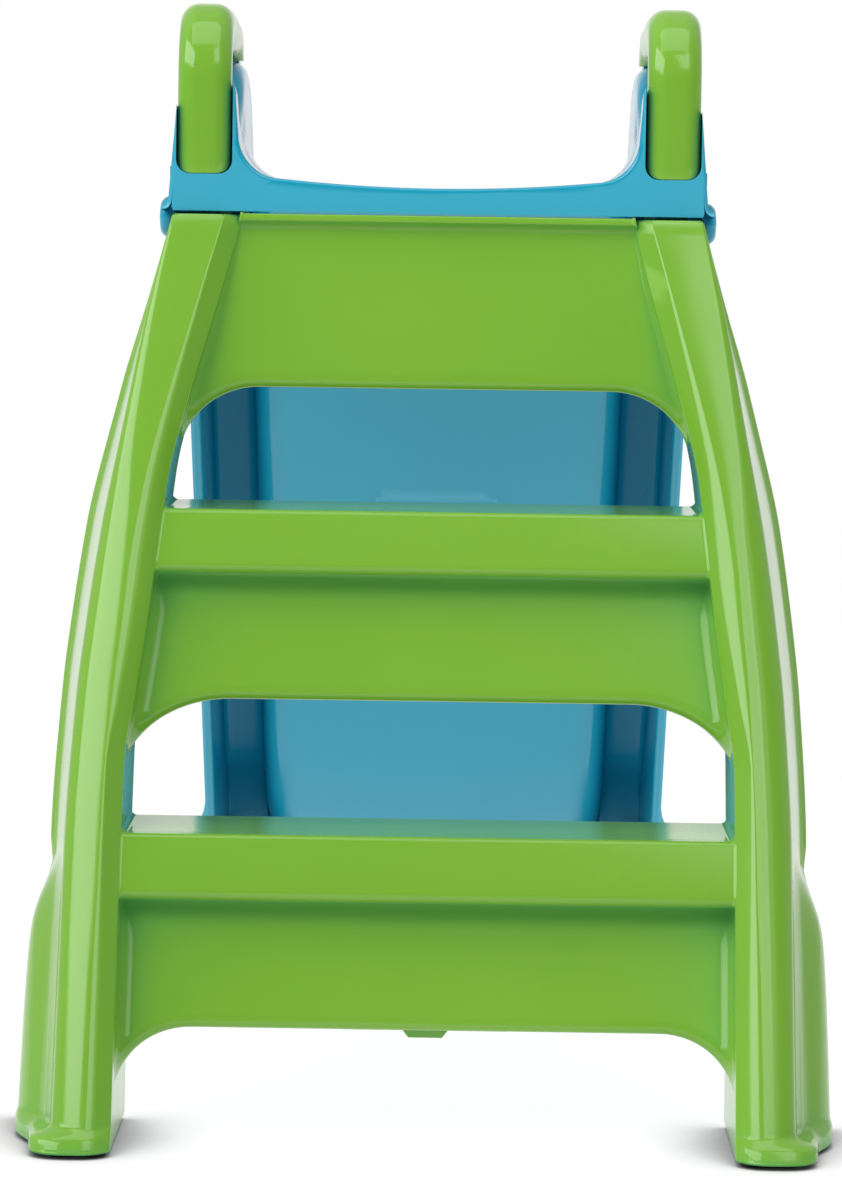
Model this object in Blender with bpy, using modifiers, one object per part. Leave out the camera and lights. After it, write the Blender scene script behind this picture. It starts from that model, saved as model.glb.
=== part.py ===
"""Fold-up toddler slide: a thin-walled chute, a folding ladder, two grab handles and their hardware.

Metres, +Z up. The origin is on the floor under the middle of the slide. The ladder faces -Y and
the chute runs down towards +Y. The empty called platform_edge sits at the rear lip of the
platform, so every y below counts from that lip, and the empty called ladder_hinge lies on the
axis that the ladder folds about.
"""

from math import cos, pi, radians, sin

import bmesh
import bpy
from mathutils import Matrix, Vector

# Overall size
LENGTH = 1.000
LADDER_REACH = 0.210          # ladder feet in front of the platform's rear lip
CHUTE_REACH = LENGTH - LADDER_REACH
WALL = 0.003                  # moulded wall thickness
GAP = 0.0003                  # clearance between pieces that touch
PAD_THICK = 0.0022
SOLE_Z = PAD_THICK + GAP      # underside of the mouldings, which stand on the pads

# Chute
LIP_BOTTOM = 0.5165
FLOOR_EDGE_RISE = 0.0045      # dish of the floor
FLOOR_FLAT_HALF = 0.088
WALL_INNER = 0.1175           # inner face of the side walls
RIM_INNER = 0.1190            # the rounded rim starts a little outside the inner face
WALL_OUTER_TOP = 0.1533
SKIRT_HALF = 0.1563
FLANGE_HALF = 0.162
TOE_HALF = 0.190              # half width of the toe's feet
FILLET = 0.026

# Hinge
HINGE_Y = 0.030
HINGE_Z = 0.517
EAR_RADIUS = 0.0125
EAR_OUT = 0.1635
LUG_INNER = 0.129
LUG_OUTER = 0.147
LUG_RADIUS = 0.0105
PIN_RADIUS = 0.004
PIN_INNER = 0.1120
PIN_OUTER = 0.1588
BUSH_RADIUS = 0.0065

# Ladder
LEAN = 0.39                   # run of the front face per unit of height
PLINTH_OUT = 0.004
COLUMN_FOOT_Y = PLINTH_OUT - LADDER_REACH - LEAN * SOLE_Z
LEDGE = 0.0112                # ledge between rail face and the steps
LEDGE_DEPTH = 0.010
RISER_DEPTH = 0.034
TREAD_DEPTH = 0.098
NOSING_HEIGHT = 0.0325
LOWER_TREAD = 0.168
UPPER_TREAD = 0.346
RAIL_TOP = 0.515
PANEL_TOP = 0.5155
PLINTH_HEIGHT = 0.013

# Handles
HANDLE_INNER = 0.1220
HANDLE_OUTER = 0.1525
HANDLE_BOTTOM = 0.5455
HANDLE_LEG = 0.030            # leg's size along y
HANDLE_TOP = 0.643
LEG_CORNER = 0.005
HANDLE_REACH = 0.205
SEAT_Z = 0.6115               # flat top of the seat under the handle's far leg
SEAT_DEEP = 0.012             # how far the seat's block reaches down under the rim
SCREW_X = 0.137
SCREW_PLACES = (HANDLE_LEG / 2, HANDLE_REACH - HANDLE_LEG / 2)
SCREW_RADIUS = 0.0022
SCREW_BORE = 0.0025           # hole in the handle's leg
SCREW_CLEARANCE = 0.0027      # hole in the shelf and the seat
SCREW_HEAD = 0.0045
SCREW_GRIP = 0.014            # how deep the screw goes into the leg

# Catch under the bottom riser
CATCH_HALF = 0.047
LUG_HALF = 0.0135
CATCH_Y = -0.1335
CATCH_Z = 0.0705
KEEPER_HALF = 0.040           # rib under the chute that the catch meets when folded
KEEPER_Y = 0.452
CATCH_PIN_RADIUS = 0.0015
BRACKET_WALL = 0.003

# Non-slip pads
PAD_CORNER = 0.006
LADDER_PAD = (0.176, 0.208)   # inner and outer edge
CHUTE_PAD = (0.158, 0.182)

PARTS = "wave_slide"
CUTTERS = "cutters"


def clear_scene():
    for thing in list(bpy.data.objects):
        bpy.data.objects.remove(thing, do_unlink=True)
    for name in (PARTS, CUTTERS):
        group = bpy.data.collections.new(name)
        bpy.context.scene.collection.children.link(group)


def plastic(name, colour, roughness=0.25, metallic=0.0):
    material = bpy.data.materials.new(name)
    material.use_nodes = True
    shader = material.node_tree.nodes["Principled BSDF"]
    shader.inputs["Base Color"].default_value = (*colour, 1.0)
    shader.inputs["Roughness"].default_value = roughness
    shader.inputs["Metallic"].default_value = metallic
    return material


def smooth_curve(knots):
    """A smooth function through (place, value) knots that doesn't overshoot between them."""
    places = [knot[0] for knot in knots]
    values = [knot[1] for knot in knots]
    spans = [b - a for a, b in zip(places, places[1:])]
    secants = [(b - a) / span for a, b, span in zip(values, values[1:], spans)]
    slopes = [secants[0]]
    for before, after in zip(secants, secants[1:]):
        slopes.append(0.0 if before * after <= 0 else 2 * before * after / (before + after))
    slopes.append(secants[-1])

    def value(place):
        place = min(max(place, places[0]), places[-1])
        i = 0
        while i < len(spans) - 1 and place > places[i + 1]:
            i += 1
        t = (place - places[i]) / spans[i]
        start = values[i] * (1 + 2 * t) + slopes[i] * spans[i] * t
        end = values[i + 1] * (3 - 2 * t) - slopes[i + 1] * spans[i] * (1 - t)
        return start * (1 - t) ** 2 + end * t ** 2

    return value


# Heights along the chute, from the rear lip to the toe
floor_z = smooth_curve([(0.0, 0.5360), (0.14, 0.5345), (0.22, 0.5280), (0.28, 0.4960), (0.34, 0.4400),
                        (0.43, 0.3480), (0.51, 0.2700), (0.59, 0.1830), (0.66, 0.1100),
                        (0.72, 0.0650), (0.76, 0.0520), (0.79, 0.0450)])
rim_z = smooth_curve([(0.0, 0.6020), (0.03, 0.5990), (0.085, 0.5740), (0.15, 0.5990), (0.19, 0.6100),
                      (0.225, 0.6060), (0.26, 0.5880), (0.305, 0.5450), (0.34, 0.5080),
                      (0.43, 0.4130), (0.51, 0.3330), (0.59, 0.2480), (0.66, 0.1750),
                      (0.72, 0.1260), (0.76, 0.1080), (0.78, 0.0900), (0.79, 0.0750)])
flange_z = smooth_curve([(0.0, LIP_BOTTOM), (0.20, LIP_BOTTOM - 0.002), (0.25, 0.5000),
                         (0.30, 0.4600), (0.398, 0.3620), (0.59, 0.1640), (0.672, 0.0780),
                         (0.73, 0.0230), (0.755, SOLE_Z), (0.79, SOLE_Z)])
flange_half = smooth_curve([(0.0, SKIRT_HALF + 0.001), (0.05, FLANGE_HALF), (0.655, FLANGE_HALF),
                            (0.70, 0.180), (0.745, TOE_HALF), (0.79, TOE_HALF - 0.004)])
CHUTE_STATIONS = [0.0, 0.03, 0.06, 0.09, 0.12, 0.15, 0.185, 0.22, 0.25, 0.28, 0.31, 0.35, 0.39, 0.43,
                  0.47, 0.51, 0.55, 0.59, 0.63, 0.66, 0.69, 0.72, 0.745, 0.765, 0.78, 0.79]

# Ladder rail, by height
face_outer = smooth_curve([(0.0, 0.2030), (0.165, 0.2035), (0.244, 0.2000), (0.312, 0.1936),
                           (0.380, 0.1832), (0.451, 0.1690), (RAIL_TOP, 0.1553)])
face_inner = smooth_curve([(0.0, 0.1800), (0.161, 0.1819), (0.215, 0.1806), (0.281, 0.1755),
                           (0.335, 0.1694), (0.386, 0.1570), (0.462, 0.1345), (RAIL_TOP, 0.1240)])
rail_depth = smooth_curve([(0.0, 0.112), (0.12, 0.104), (0.17, 0.100), (0.34, 0.100),
                           (0.42, 0.082), (0.50, 0.026), (RAIL_TOP, 0.018)])
inner_draft = smooth_curve([(0.0, 0.004), (0.20, 0.0015), (0.386, 0.0065), (RAIL_TOP, 0.003)])
lobe_half = smooth_curve([(0.0, 0.2270), (0.084, 0.2247), (0.118, 0.2225), (0.152, 0.2145)])
LOBE_TOP = 0.152
RAIL_STATIONS = [SOLE_Z, PLINTH_HEIGHT, PLINTH_HEIGHT + 0.004, 0.05, 0.084, 0.118, 0.140, LOBE_TOP, 0.19,
                 0.24, 0.29, 0.34, 0.38, 0.42, 0.46, 0.50, RAIL_TOP]


def front_y(z):
    """The plane of the rails' front faces."""
    return COLUMN_FOOT_Y + LEAN * z


def link(thing, group=PARTS):
    bpy.data.collections[group].objects.link(thing)
    return thing


def from_faces(name, points, faces, group=CUTTERS):
    mesh = bpy.data.meshes.new(name)
    mesh.from_pydata([Vector(point) for point in points], [], faces)
    mesh.update()
    return link(bpy.data.objects.new(name, mesh), group)


def bake(thing):
    """Replace an object's mesh with what its modifiers make of it."""
    graph = bpy.context.evaluated_depsgraph_get()
    graph.update()
    mesh = bpy.data.meshes.new_from_object(thing.evaluated_get(graph))
    thing.modifiers.clear()
    thing.data = mesh
    return thing


def face_outwards(thing):
    work = bmesh.new()
    work.from_mesh(thing.data)
    bmesh.ops.remove_doubles(work, verts=work.verts, dist=0.00001)
    bmesh.ops.recalc_face_normals(work, faces=work.faces)
    work.to_mesh(thing.data)
    work.free()
    return thing


def sheet(name, rows):
    """A surface through rows of points, its normals turned up or out by the rows' order."""
    count = len(rows[0])
    points = [point for row in rows for point in row]
    faces = []
    for r in range(len(rows) - 1):
        for c in range(count - 1):
            a = r * count + c
            faces.append((a, a + 1, a + count + 1, a + count))
    return from_faces(name, points, faces)


def tube(name, rings):
    """A closed skin over rings of points, with both ends filled."""
    count = len(rings[0])
    points = [point for ring in rings for point in ring]
    faces = []
    for r in range(len(rings) - 1):
        for c in range(count):
            a = r * count + c
            b = r * count + (c + 1) % count
            faces.append((a, b, b + count, a + count))
    faces.append(tuple(range(count))[::-1])
    faces.append(tuple(range(len(points) - count, len(points))))
    return face_outwards(from_faces(name, points, faces))


def thicken(thing):
    """Give a skin its wall, which grows inwards from it."""
    solid = thing.modifiers.new("wall", "SOLIDIFY")
    solid.thickness = WALL
    solid.offset = -1.0
    solid.use_even_offset = True
    return face_outwards(bake(thing))


def slab(name, outline, start, thickness, axis="Y"):
    """A flat outline of (u, v) points, extruded from start along +Y or +X."""
    near = []
    far = []
    for u, v in outline:
        if axis == "Y":
            near.append((u, start, v))
            far.append((u, start + thickness, v))
        else:
            near.append((start, u, v))
            far.append((start + thickness, u, v))
    return tube(name, [near, far])


def block(name, low, high):
    outline = [(low[0], low[2]), (high[0], low[2]), (high[0], high[2]), (low[0], high[2])]
    return slab(name, outline, low[1], high[1] - low[1])


def arc(centre, radius, start, end, steps):
    """Points round a circle, or an ellipse when radius is a pair, in degrees."""
    across, up = radius if isinstance(radius, tuple) else (radius, radius)
    turns = [radians(start + (end - start) * i / steps) for i in range(steps + 1)]
    return [(centre[0] + across * cos(turn), centre[1] + up * sin(turn)) for turn in turns]


def turned(name, profile, steps=16, group=CUTTERS):
    """A closed turned shape about its own Z, from (radius, z) points listed top to bottom."""
    points = [(radius, 0.0, z) for radius, z in profile]
    mesh = bpy.data.meshes.new(name)
    mesh.from_pydata(points, [(i, i + 1) for i in range(len(points) - 1)], [])
    thing = link(bpy.data.objects.new(name, mesh), group)
    screw = thing.modifiers.new("turn", "SCREW")
    screw.steps = steps
    screw.render_steps = steps
    screw.use_merge_vertices = True
    screw.merge_threshold = 0.00001
    return face_outwards(bake(thing))


def rod(name, radius, start, end, steps=16):
    """A plain cylinder along +X from start to end, about its own origin's axis."""
    thing = turned(name, [(0.0, end), (radius, end), (radius, start), (0.0, start)], steps)
    thing.data.transform(Matrix.Rotation(radians(90), 4, "Y"))
    return thing


def moved(thing, x=0.0, y=0.0, z=0.0):
    thing.data.transform(Matrix.Translation((x, y, z)))
    return thing


def mirrored(thing, name):
    """A copy of a shape reflected to the other side."""
    copy = link(bpy.data.objects.new(name, thing.data.copy()), CUTTERS)
    copy.data.transform(Matrix.Scale(-1, 4, (1, 0, 0)))
    copy.data.flip_normals()
    return copy


def combine(thing, tool, operation):
    """Join or cut a shape with another one, which is then used up."""
    step = thing.modifiers.new(operation.lower(), "BOOLEAN")
    step.operation = operation
    step.solver = "EXACT"
    step.object = tool
    bake(thing)
    bpy.data.objects.remove(tool, do_unlink=True)
    return thing


def join(thing, *tools):
    for tool in tools:
        combine(thing, tool, "UNION")
    return thing


def cut(thing, *tools):
    for tool in tools:
        combine(thing, tool, "DIFFERENCE")
    return thing


def both_sides(make):
    """A right-hand shape and its mirror image."""
    right = make()
    left = mirrored(right, right.name + "_mirror")
    return right, left


def finish(thing, name, material, parent, pivot=(0.0, 0.0, 0.0)):
    """Name a shape, colour it and hang it on its parent, its origin at the pivot."""
    thing.name = name
    thing.data.name = name
    thing.data.transform(Matrix.Translation(-Vector(pivot)))
    thing.data.materials.clear()
    thing.data.materials.append(material)
    bpy.data.collections[CUTTERS].objects.unlink(thing)
    link(thing)
    thing.parent = parent
    thing.location = Vector(pivot) - parent_pivot(parent)
    thing.data.shade_smooth()
    thing.data.set_sharp_from_angle(angle=radians(35))
    return thing


def parent_pivot(parent):
    """Where a parent empty sits, counted from the platform's rear lip."""
    return Vector(parent["pivot"])


def empty(name, pivot, parent=None):
    thing = link(bpy.data.objects.new(name, None))
    thing["pivot"] = pivot
    if parent is None:
        thing.location = (0.0, LADDER_REACH - LENGTH / 2, 0.0)
    else:
        thing.parent = parent
        thing.location = Vector(pivot) - parent_pivot(parent)
    return thing


# ---------------------------------------------------------------- chute

def chute_half(y):
    """Top and outside of the chute at y, from the middle of the floor to the flange's edge."""
    low = floor_z(y) + FLOOR_EDGE_RISE
    rim = rim_z(y)
    flange = flange_z(y)
    half = flange_half(y)
    radius = min(FILLET, (rim - low) * 0.6)
    rim_centre = (RIM_INNER + WALL_OUTER_TOP) / 2
    rim_radius = (WALL_OUTER_TOP - RIM_INNER) / 2
    rim_drop = min(rim_radius, (rim - low - radius) * 0.8)
    points = [(0.0, floor_z(y)), (FLOOR_FLAT_HALF * 0.5, floor_z(y) + FLOOR_EDGE_RISE * 0.3)]
    points += arc((WALL_INNER - radius, low + radius), radius, -90, 0, 4)
    points += arc((rim_centre, rim - rim_drop), (rim_radius, rim_drop), 180, 0, 6)
    points.append((SKIRT_HALF, flange + 0.006))
    points.append((SKIRT_HALF + 0.0008, flange + WALL))
    points.append((half, flange + WALL * 0.9))
    return points


def chute_row(y):
    half = [(x, y, z) for x, z in chute_half(y)]
    return [(-x, y, z) for x, y, z in half[:0:-1]] + half


def end_plate(name, y, bottom, start):
    """A wall that closes the section at y down to its bottom edge."""
    outline = [(x, z) for x, z in chute_half(y)[:-3]]
    outline = [(x, z - 0.0004) for x, z in outline]
    half = outline + [(SKIRT_HALF - 0.0004, bottom + 0.002), (SKIRT_HALF - 0.002, bottom)]
    full = [(-x, z) for x, z in half[:0:-1]] + half
    return slab(name, full, start, WALL)


def ear(x_inner, x_outer, name):
    """A rounded ear that hangs from the side wall round the hinge axis."""
    outline = [(HINGE_Y + EAR_RADIUS, HINGE_Z + 0.030)]
    outline += [(HINGE_Y - EAR_RADIUS, HINGE_Z + 0.030)]
    outline += arc((HINGE_Y, HINGE_Z), EAR_RADIUS, 180, 360, 10)
    return slab(name, outline, x_inner, x_outer - x_inner, axis="X")


def ear_boss():
    """The domed boss outside the ear that the pin's end sits in."""
    inside = SKIRT_HALF - 0.002
    profile = [(0.0, EAR_OUT), (0.0065, EAR_OUT - 0.0004), (0.0105, EAR_OUT - 0.0025),
               (EAR_RADIUS, inside + 0.001), (EAR_RADIUS, inside), (0.0, inside)]
    boss = turned("boss", profile, 20)
    boss.data.transform(Matrix.Rotation(radians(90), 4, "Y"))
    return moved(boss, 0.0, HINGE_Y, HINGE_Z)


def leg_outline(inner_room, room):
    """The handle's near leg seen from the rear, round at the bottom, with room left round it."""
    inner = HANDLE_INNER - inner_room
    outer = HANDLE_OUTER + room
    low = HANDLE_BOTTOM - room
    corner = LEG_CORNER + room
    outline = arc((inner + corner, low + corner), corner, 180, 270, 3)
    outline += arc((outer - corner, low + corner), corner, 270, 360, 3)
    return outline + [(outer, 0.70), (inner, 0.70)]


def handle_recess():
    """The slot in the rear corner that takes the handle's near leg."""
    start = -0.02
    return slab("recess", leg_outline(GAP * 4, GAP), start, HANDLE_LEG + GAP - start)


def chute():
    rows = [chute_row(y) for y in CHUTE_STATIONS]
    body = thicken(sheet("chute", rows))
    join(body, end_plate("rear_lip", 0.0, LIP_BOTTOM, 0.0))
    toe_y = CHUTE_REACH - WALL
    join(body, end_plate("toe_wall", CHUTE_REACH, SOLE_Z, toe_y))
    join(body, *both_sides(lambda: ear(SKIRT_HALF - WALL, SKIRT_HALF - 0.0002, "outer_ear")))
    join(body, *both_sides(lambda: ear(WALL_INNER + 0.0001, WALL_INNER + WALL, "inner_ear")))
    join(body, *both_sides(ear_boss))
    seat_low = rim_z(SCREW_PLACES[1]) - SEAT_DEEP
    join(body, *both_sides(lambda: block("seat", (HANDLE_INNER, HANDLE_REACH - HANDLE_LEG - 0.001, seat_low),
                                         (HANDLE_OUTER - 0.002, HANDLE_REACH + 0.001, SEAT_Z))))
    cut(body, *both_sides(handle_recess))
    shelf_low = HANDLE_BOTTOM - GAP - WALL
    join(body, *both_sides(lambda: block("shelf", (WALL_INNER + 0.001, 0.001, shelf_low),
                                         (SKIRT_HALF - 0.002, HANDLE_LEG + 0.002, HANDLE_BOTTOM - GAP))))
    rib_end = KEEPER_Y + WALL
    join(body, block("keeper", (-KEEPER_HALF, KEEPER_Y, floor_z(KEEPER_Y) - 0.018),
                     (KEEPER_HALF, rib_end, floor_z(rib_end) - WALL / 2)))
    pin_hole = PIN_RADIUS + GAP
    blind_end = PIN_OUTER + 2 * GAP
    cut(body, *both_sides(lambda: moved(rod("pin_hole", pin_hole, 0.105, blind_end), 0, HINGE_Y, HINGE_Z)))
    for y in SCREW_PLACES:
        cut(body, *both_sides(lambda: screw_hole(y)))
    return face_outwards(body)


def leg_end(y):
    """The height of the handle's leg end above a screw."""
    return HANDLE_BOTTOM if y == SCREW_PLACES[0] else SEAT_Z


def screw_hole(y):
    hole = turned("screw_hole", [(0.0, 0.04), (SCREW_CLEARANCE, 0.04), (SCREW_CLEARANCE, -0.06), (0.0, -0.06)], 12)
    return moved(hole, SCREW_X, y, leg_end(y))


# ---------------------------------------------------------------- handles

def handle_path():
    """Centre line of the handle as (y, z, half thickness), from the near leg to the far one."""
    leg = HANDLE_LEG / 2
    bar = 0.0125
    top = HANDLE_TOP - bar
    near = [(leg, HANDLE_BOTTOM, leg), (leg, 0.575, leg), (leg, 0.600, leg - 0.0005)]
    bend = []
    for i in range(1, 5):
        turn = radians(180 - 90 * i / 4)
        thick = leg + (bar - leg) * i / 4
        bend.append((leg + 0.030 + 0.030 * cos(turn), 0.600 + (top - 0.600) * sin(turn), thick))
    middle = [(0.085, top - 0.0005, bar), (0.125, top - 0.0030, bar)]
    far = []
    far_y = HANDLE_REACH - leg
    end_z = SEAT_Z - 0.012
    for i in range(0, 5):
        turn = radians(90 - 90 * i / 4)
        thick = bar + (leg - bar) * i / 4
        far.append((far_y - 0.030 + 0.030 * cos(turn), end_z + (top - 0.0045 - end_z) * sin(turn), thick))
    return near + bend + middle + far


def handle():
    """The right-hand grab handle: a rounded bar swept along its arch."""
    path = handle_path()
    middle = (HANDLE_INNER + HANDLE_OUTER) / 2
    half = (HANDLE_OUTER - HANDLE_INNER) / 2
    rings = []
    for i, (y, z, thick) in enumerate(path):
        before = path[max(i - 1, 0)]
        after = path[min(i + 1, len(path) - 1)]
        along = Vector((after[0] - before[0], after[1] - before[1])).normalized()
        across = Vector((-along.y, along.x))
        ring = []
        corner = 0.008
        centres = ((half - corner, thick - corner), (corner - half, thick - corner),
                   (corner - half, corner - thick), (half - corner, corner - thick))
        for quarter, (cx, cy) in enumerate(centres):
            for u, v in arc((cx, cy), corner, 90 * quarter, 90 * quarter + 90, 3):
                ring.append((middle + u, y + across.x * v, z + across.y * v))
        rings.append(ring)
    bar = tube("handle", rings)
    combine(bar, slab("leg_trim", leg_outline(0.0, 0.0), -0.02, 0.30), "INTERSECT")
    cut(bar, block("seat_trim", (0.10, 0.10, 0.55), (0.17, 0.25, SEAT_Z + GAP)))
    for y in SCREW_PLACES:
        deep = SCREW_GRIP + 0.002
        bore = turned("bore", [(0.0, deep), (SCREW_BORE, deep), (SCREW_BORE, -0.01), (0.0, -0.01)], 12)
        cut(bar, moved(bore, SCREW_X, y, leg_end(y)))
    return bar


def screw(y):
    """A pan-head screw, its head under the shelf and its shank up in the handle's leg."""
    seat = rim_z(y) - SEAT_DEEP - GAP
    if y == SCREW_PLACES[0]:
        seat = HANDLE_BOTTOM - 2 * GAP - WALL
    tip = leg_end(y) + SCREW_GRIP
    profile = [(0.0, tip), (0.0008, tip), (SCREW_RADIUS, tip - 0.002), (SCREW_RADIUS, seat), (SCREW_HEAD, seat),
               (SCREW_HEAD, seat - 0.0012), (SCREW_HEAD * 0.7, seat - 0.0024), (0.0, seat - 0.0026)]
    return moved(turned("screw", profile, 14), SCREW_X, y, 0.0)


# ---------------------------------------------------------------- ladder

def step_half(z):
    """Half width between the rails' inner borders at a height."""
    return face_inner(z) - LEDGE


def inner_wall(y, z):
    """The rail's inner face at a place, which leans inwards towards the rear."""
    back = (y - front_y(z) - LEDGE_DEPTH) / (rail_depth(z) - LEDGE_DEPTH)
    return step_half(z) - inner_draft(z) * min(max(back, 0.0), 1.0)


def rail_row(z):
    """One rail's skin at a height, from its rear outer edge round the front to its rear inner edge."""
    plinth = z <= PLINTH_HEIGHT + 0.0001
    front = front_y(z)
    depth = rail_depth(z)
    outer = face_outer(z) + (0.010 if plinth else 0.0)
    inner = face_inner(z)
    step = step_half(z)
    rear = outer + 0.0115 * min(1.0, depth / 0.1)
    waist = outer + 0.0035 * min(1.0, depth / 0.1)
    lobe_front = rear - 0.006
    if z <= LOBE_TOP:
        rear = lobe_half(z) + (0.0015 if plinth else 0.0)
        lobe_front = rear - 0.007
    nose = -PLINTH_OUT if plinth else 0.0
    points = [(rear, depth), (lobe_front, depth * 0.48), (waist, depth * 0.34), (outer + 0.0008, depth * 0.12),
              (outer - 0.0025, nose + 0.0015), (outer - 0.007, nose), (inner + 0.003, nose)]
    if z < 0.03:
        wall = step + 0.003
        points += [(wall + 0.004, nose + 0.0008), (wall + 0.001, nose + 0.004), (wall, 0.012), (wall - 0.0003, 0.014)]
    else:
        points += [(inner, 0.003), (inner - 0.002, LEDGE_DEPTH), (step + 0.002, LEDGE_DEPTH + 0.0005),
                   (step, LEDGE_DEPTH + 0.004)]
    points.append((step - inner_draft(z), depth))
    return [(x, front + y, z) for x, y in points]


def rail():
    """A thin rail, open at the rear, with a sole below and a cap on top."""
    rows = [rail_row(z) for z in RAIL_STATIONS]
    count = len(rows[0])
    points = [point for row in rows for point in row]
    faces = []
    for r in range(len(rows) - 1):
        for c in range(count - 1):
            a = r * count + c
            faces.append((a, a + 1, a + count + 1, a + count))
    faces.append(tuple(range(count))[::-1])
    faces.append(tuple(range(len(points) - count, len(points))))
    skin = face_outwards_open(from_faces("rail", points, faces))
    return thicken(skin)


def face_outwards_open(skin):
    """Turn an open skin so that its front faces look towards -Y."""
    work = bmesh.new()
    work.from_mesh(skin.data)
    bmesh.ops.recalc_face_normals(work, faces=work.faces)
    work.normal_update()
    facing = sum(face.normal.y * face.calc_area() for face in work.faces)
    if facing > 0:
        bmesh.ops.reverse_faces(work, faces=work.faces)
    work.to_mesh(skin.data)
    work.free()
    return skin


def step_profile(tread, bottom):
    """Side view of a step as (y, z), from the riser's foot up and over to the tread's rear edge."""
    nose = tread - NOSING_HEIGHT
    return [(front_y(bottom) + RISER_DEPTH, bottom), (front_y(nose) + RISER_DEPTH, nose - 0.002),
            (front_y(nose) + RISER_DEPTH - 0.003, nose + 0.001),
            (front_y(nose) + LEDGE_DEPTH + 0.005, nose + 0.001),
            (front_y(nose) + LEDGE_DEPTH, nose + 0.005), (front_y(tread) + LEDGE_DEPTH, tread - 0.006),
            (front_y(tread) + LEDGE_DEPTH + 0.0035, tread), (front_y(tread) + TREAD_DEPTH, tread)]


def panel_profile(bottom):
    """Side view of the top panel, which is set back under a narrow border."""
    top = PANEL_TOP
    return [(front_y(bottom) + RISER_DEPTH * 0.85, bottom), (front_y(top - 0.012) + 0.016, top - 0.010),
            (front_y(top - 0.008) + 0.004, top - 0.007), (front_y(top) + 0.003, top - 0.002),
            (front_y(top) + 0.005, top), (front_y(top) + 0.012, top)]


def step_shell(name, profile):
    """A step's wall, spanning from rail to rail."""
    rows = []
    for y, z in profile:
        half = inner_wall(y, z) + WALL / 2
        rows.append([(-half, y, z), (half, y, z)])
    return thicken(face_outwards_open(sheet(name, rows)))


def arch(flat_half, flat_z, low_z, y_low, y_high):
    """The cutter under a riser: flat in the middle, curving down to the rails."""
    end = inner_wall((y_low + y_high) / 2, low_z) - GAP
    corner = arc((flat_half, low_z), (end - flat_half, flat_z - low_z), 90, 0, 7)
    half = [(0.0, flat_z)] + corner + [(end, low_z - 0.03)]
    full = [(-x, z) for x, z in half[:0:-1]] + half
    return slab("arch", full, y_low, y_high - y_low)


def hinge_lug():
    """The rib inside the rail's top that carries the hinge bush."""
    outline = arc((HINGE_Y, HINGE_Z), LUG_RADIUS, 100, -60, 9)
    outline += [(front_y(0.46) + 0.030, 0.462), (front_y(0.46) + 0.002, 0.462),
                (front_y(0.508) + 0.002, 0.510), (0.004, 0.513)]
    lug = slab("lug", outline, LUG_INNER, LUG_OUTER - LUG_INNER, axis="X")
    hole = moved(rod("bush_hole", BUSH_RADIUS + GAP, 0.12, 0.16), 0, HINGE_Y, HINGE_Z)
    return cut(lug, hole)


def catch_bracket():
    """A small ear behind the bottom riser that carries the catch's pin."""
    outline = arc((CATCH_Y, CATCH_Z), 0.0055, 180, 0, 8)
    outline = [(CATCH_Y - 0.0055, CATCH_Z - 0.0045)] + outline[1:] + [(CATCH_Y + 0.0055, CATCH_Z - 0.0045)]
    inner = CATCH_HALF + 0.002
    plate = slab("bracket", outline, inner, BRACKET_WALL, axis="X")
    wall_y = front_y(CATCH_Z) + RISER_DEPTH + 0.001
    web = block("web", (inner, wall_y, CATCH_Z - 0.0045), (inner + BRACKET_WALL, CATCH_Y, CATCH_Z + 0.0055))
    join(plate, web)
    hole = moved(rod("pin_hole", CATCH_PIN_RADIUS + GAP, 0.03, 0.06), 0, CATCH_Y, CATCH_Z)
    return cut(plate, hole)


def ladder():
    right = rail()
    body = join(right, mirrored(right, "left_rail"))
    lower = step_shell("lower_step", step_profile(LOWER_TREAD, 0.0265))
    riser_y = front_y(0.06) + RISER_DEPTH
    cut(lower, arch(0.1317, 0.0610, 0.0270, riser_y - 0.03, riser_y + 0.02))
    upper = step_shell("upper_step", step_profile(UPPER_TREAD, 0.2130))
    riser_y = front_y(0.23) + RISER_DEPTH
    cut(upper, arch(0.0973, 0.2406, 0.2135, riser_y - 0.02, riser_y + 0.02))
    panel = step_shell("top_panel", panel_profile(0.386))
    riser_y = front_y(0.40) + RISER_DEPTH
    cut(panel, arch(0.108, 0.4190, 0.3865, riser_y - 0.03, riser_y + 0.02))
    join(body, lower, upper, panel)
    join(body, *both_sides(hinge_lug))
    join(body, *both_sides(catch_bracket))
    return face_outwards(body)


# ---------------------------------------------------------------- small pieces

def hinge_pin():
    profile = [(0.0, PIN_OUTER), (PIN_RADIUS - 0.0006, PIN_OUTER), (PIN_RADIUS, PIN_OUTER - 0.0008),
               (PIN_RADIUS, PIN_INNER + 0.0008), (PIN_RADIUS - 0.0006, PIN_INNER), (0.0, PIN_INNER)]
    pin = turned("pin", profile, 18)
    pin.data.transform(Matrix.Rotation(radians(90), 4, "Y"))
    return moved(pin, 0.0, HINGE_Y, HINGE_Z)


def ring_piece(name, profile, steps=18):
    """A turned ring about X at the hinge, from (radius, x) points that close on themselves."""
    ring = turned(name, profile + [profile[0]], steps)
    ring.data.transform(Matrix.Rotation(radians(90), 4, "Y"))
    return moved(ring, 0.0, HINGE_Y, HINGE_Z)


def hinge_bush():
    """A flanged sleeve: its barrel in the lug, its flange between lug and inner ear."""
    bore = PIN_RADIUS + GAP
    flange = LUG_INNER - GAP
    profile = [(bore, LUG_OUTER), (BUSH_RADIUS, LUG_OUTER), (BUSH_RADIUS, flange), (0.0095, flange),
               (0.0095, WALL_INNER + WALL + GAP), (bore, WALL_INNER + WALL + GAP)]
    return ring_piece("bush", profile)


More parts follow.
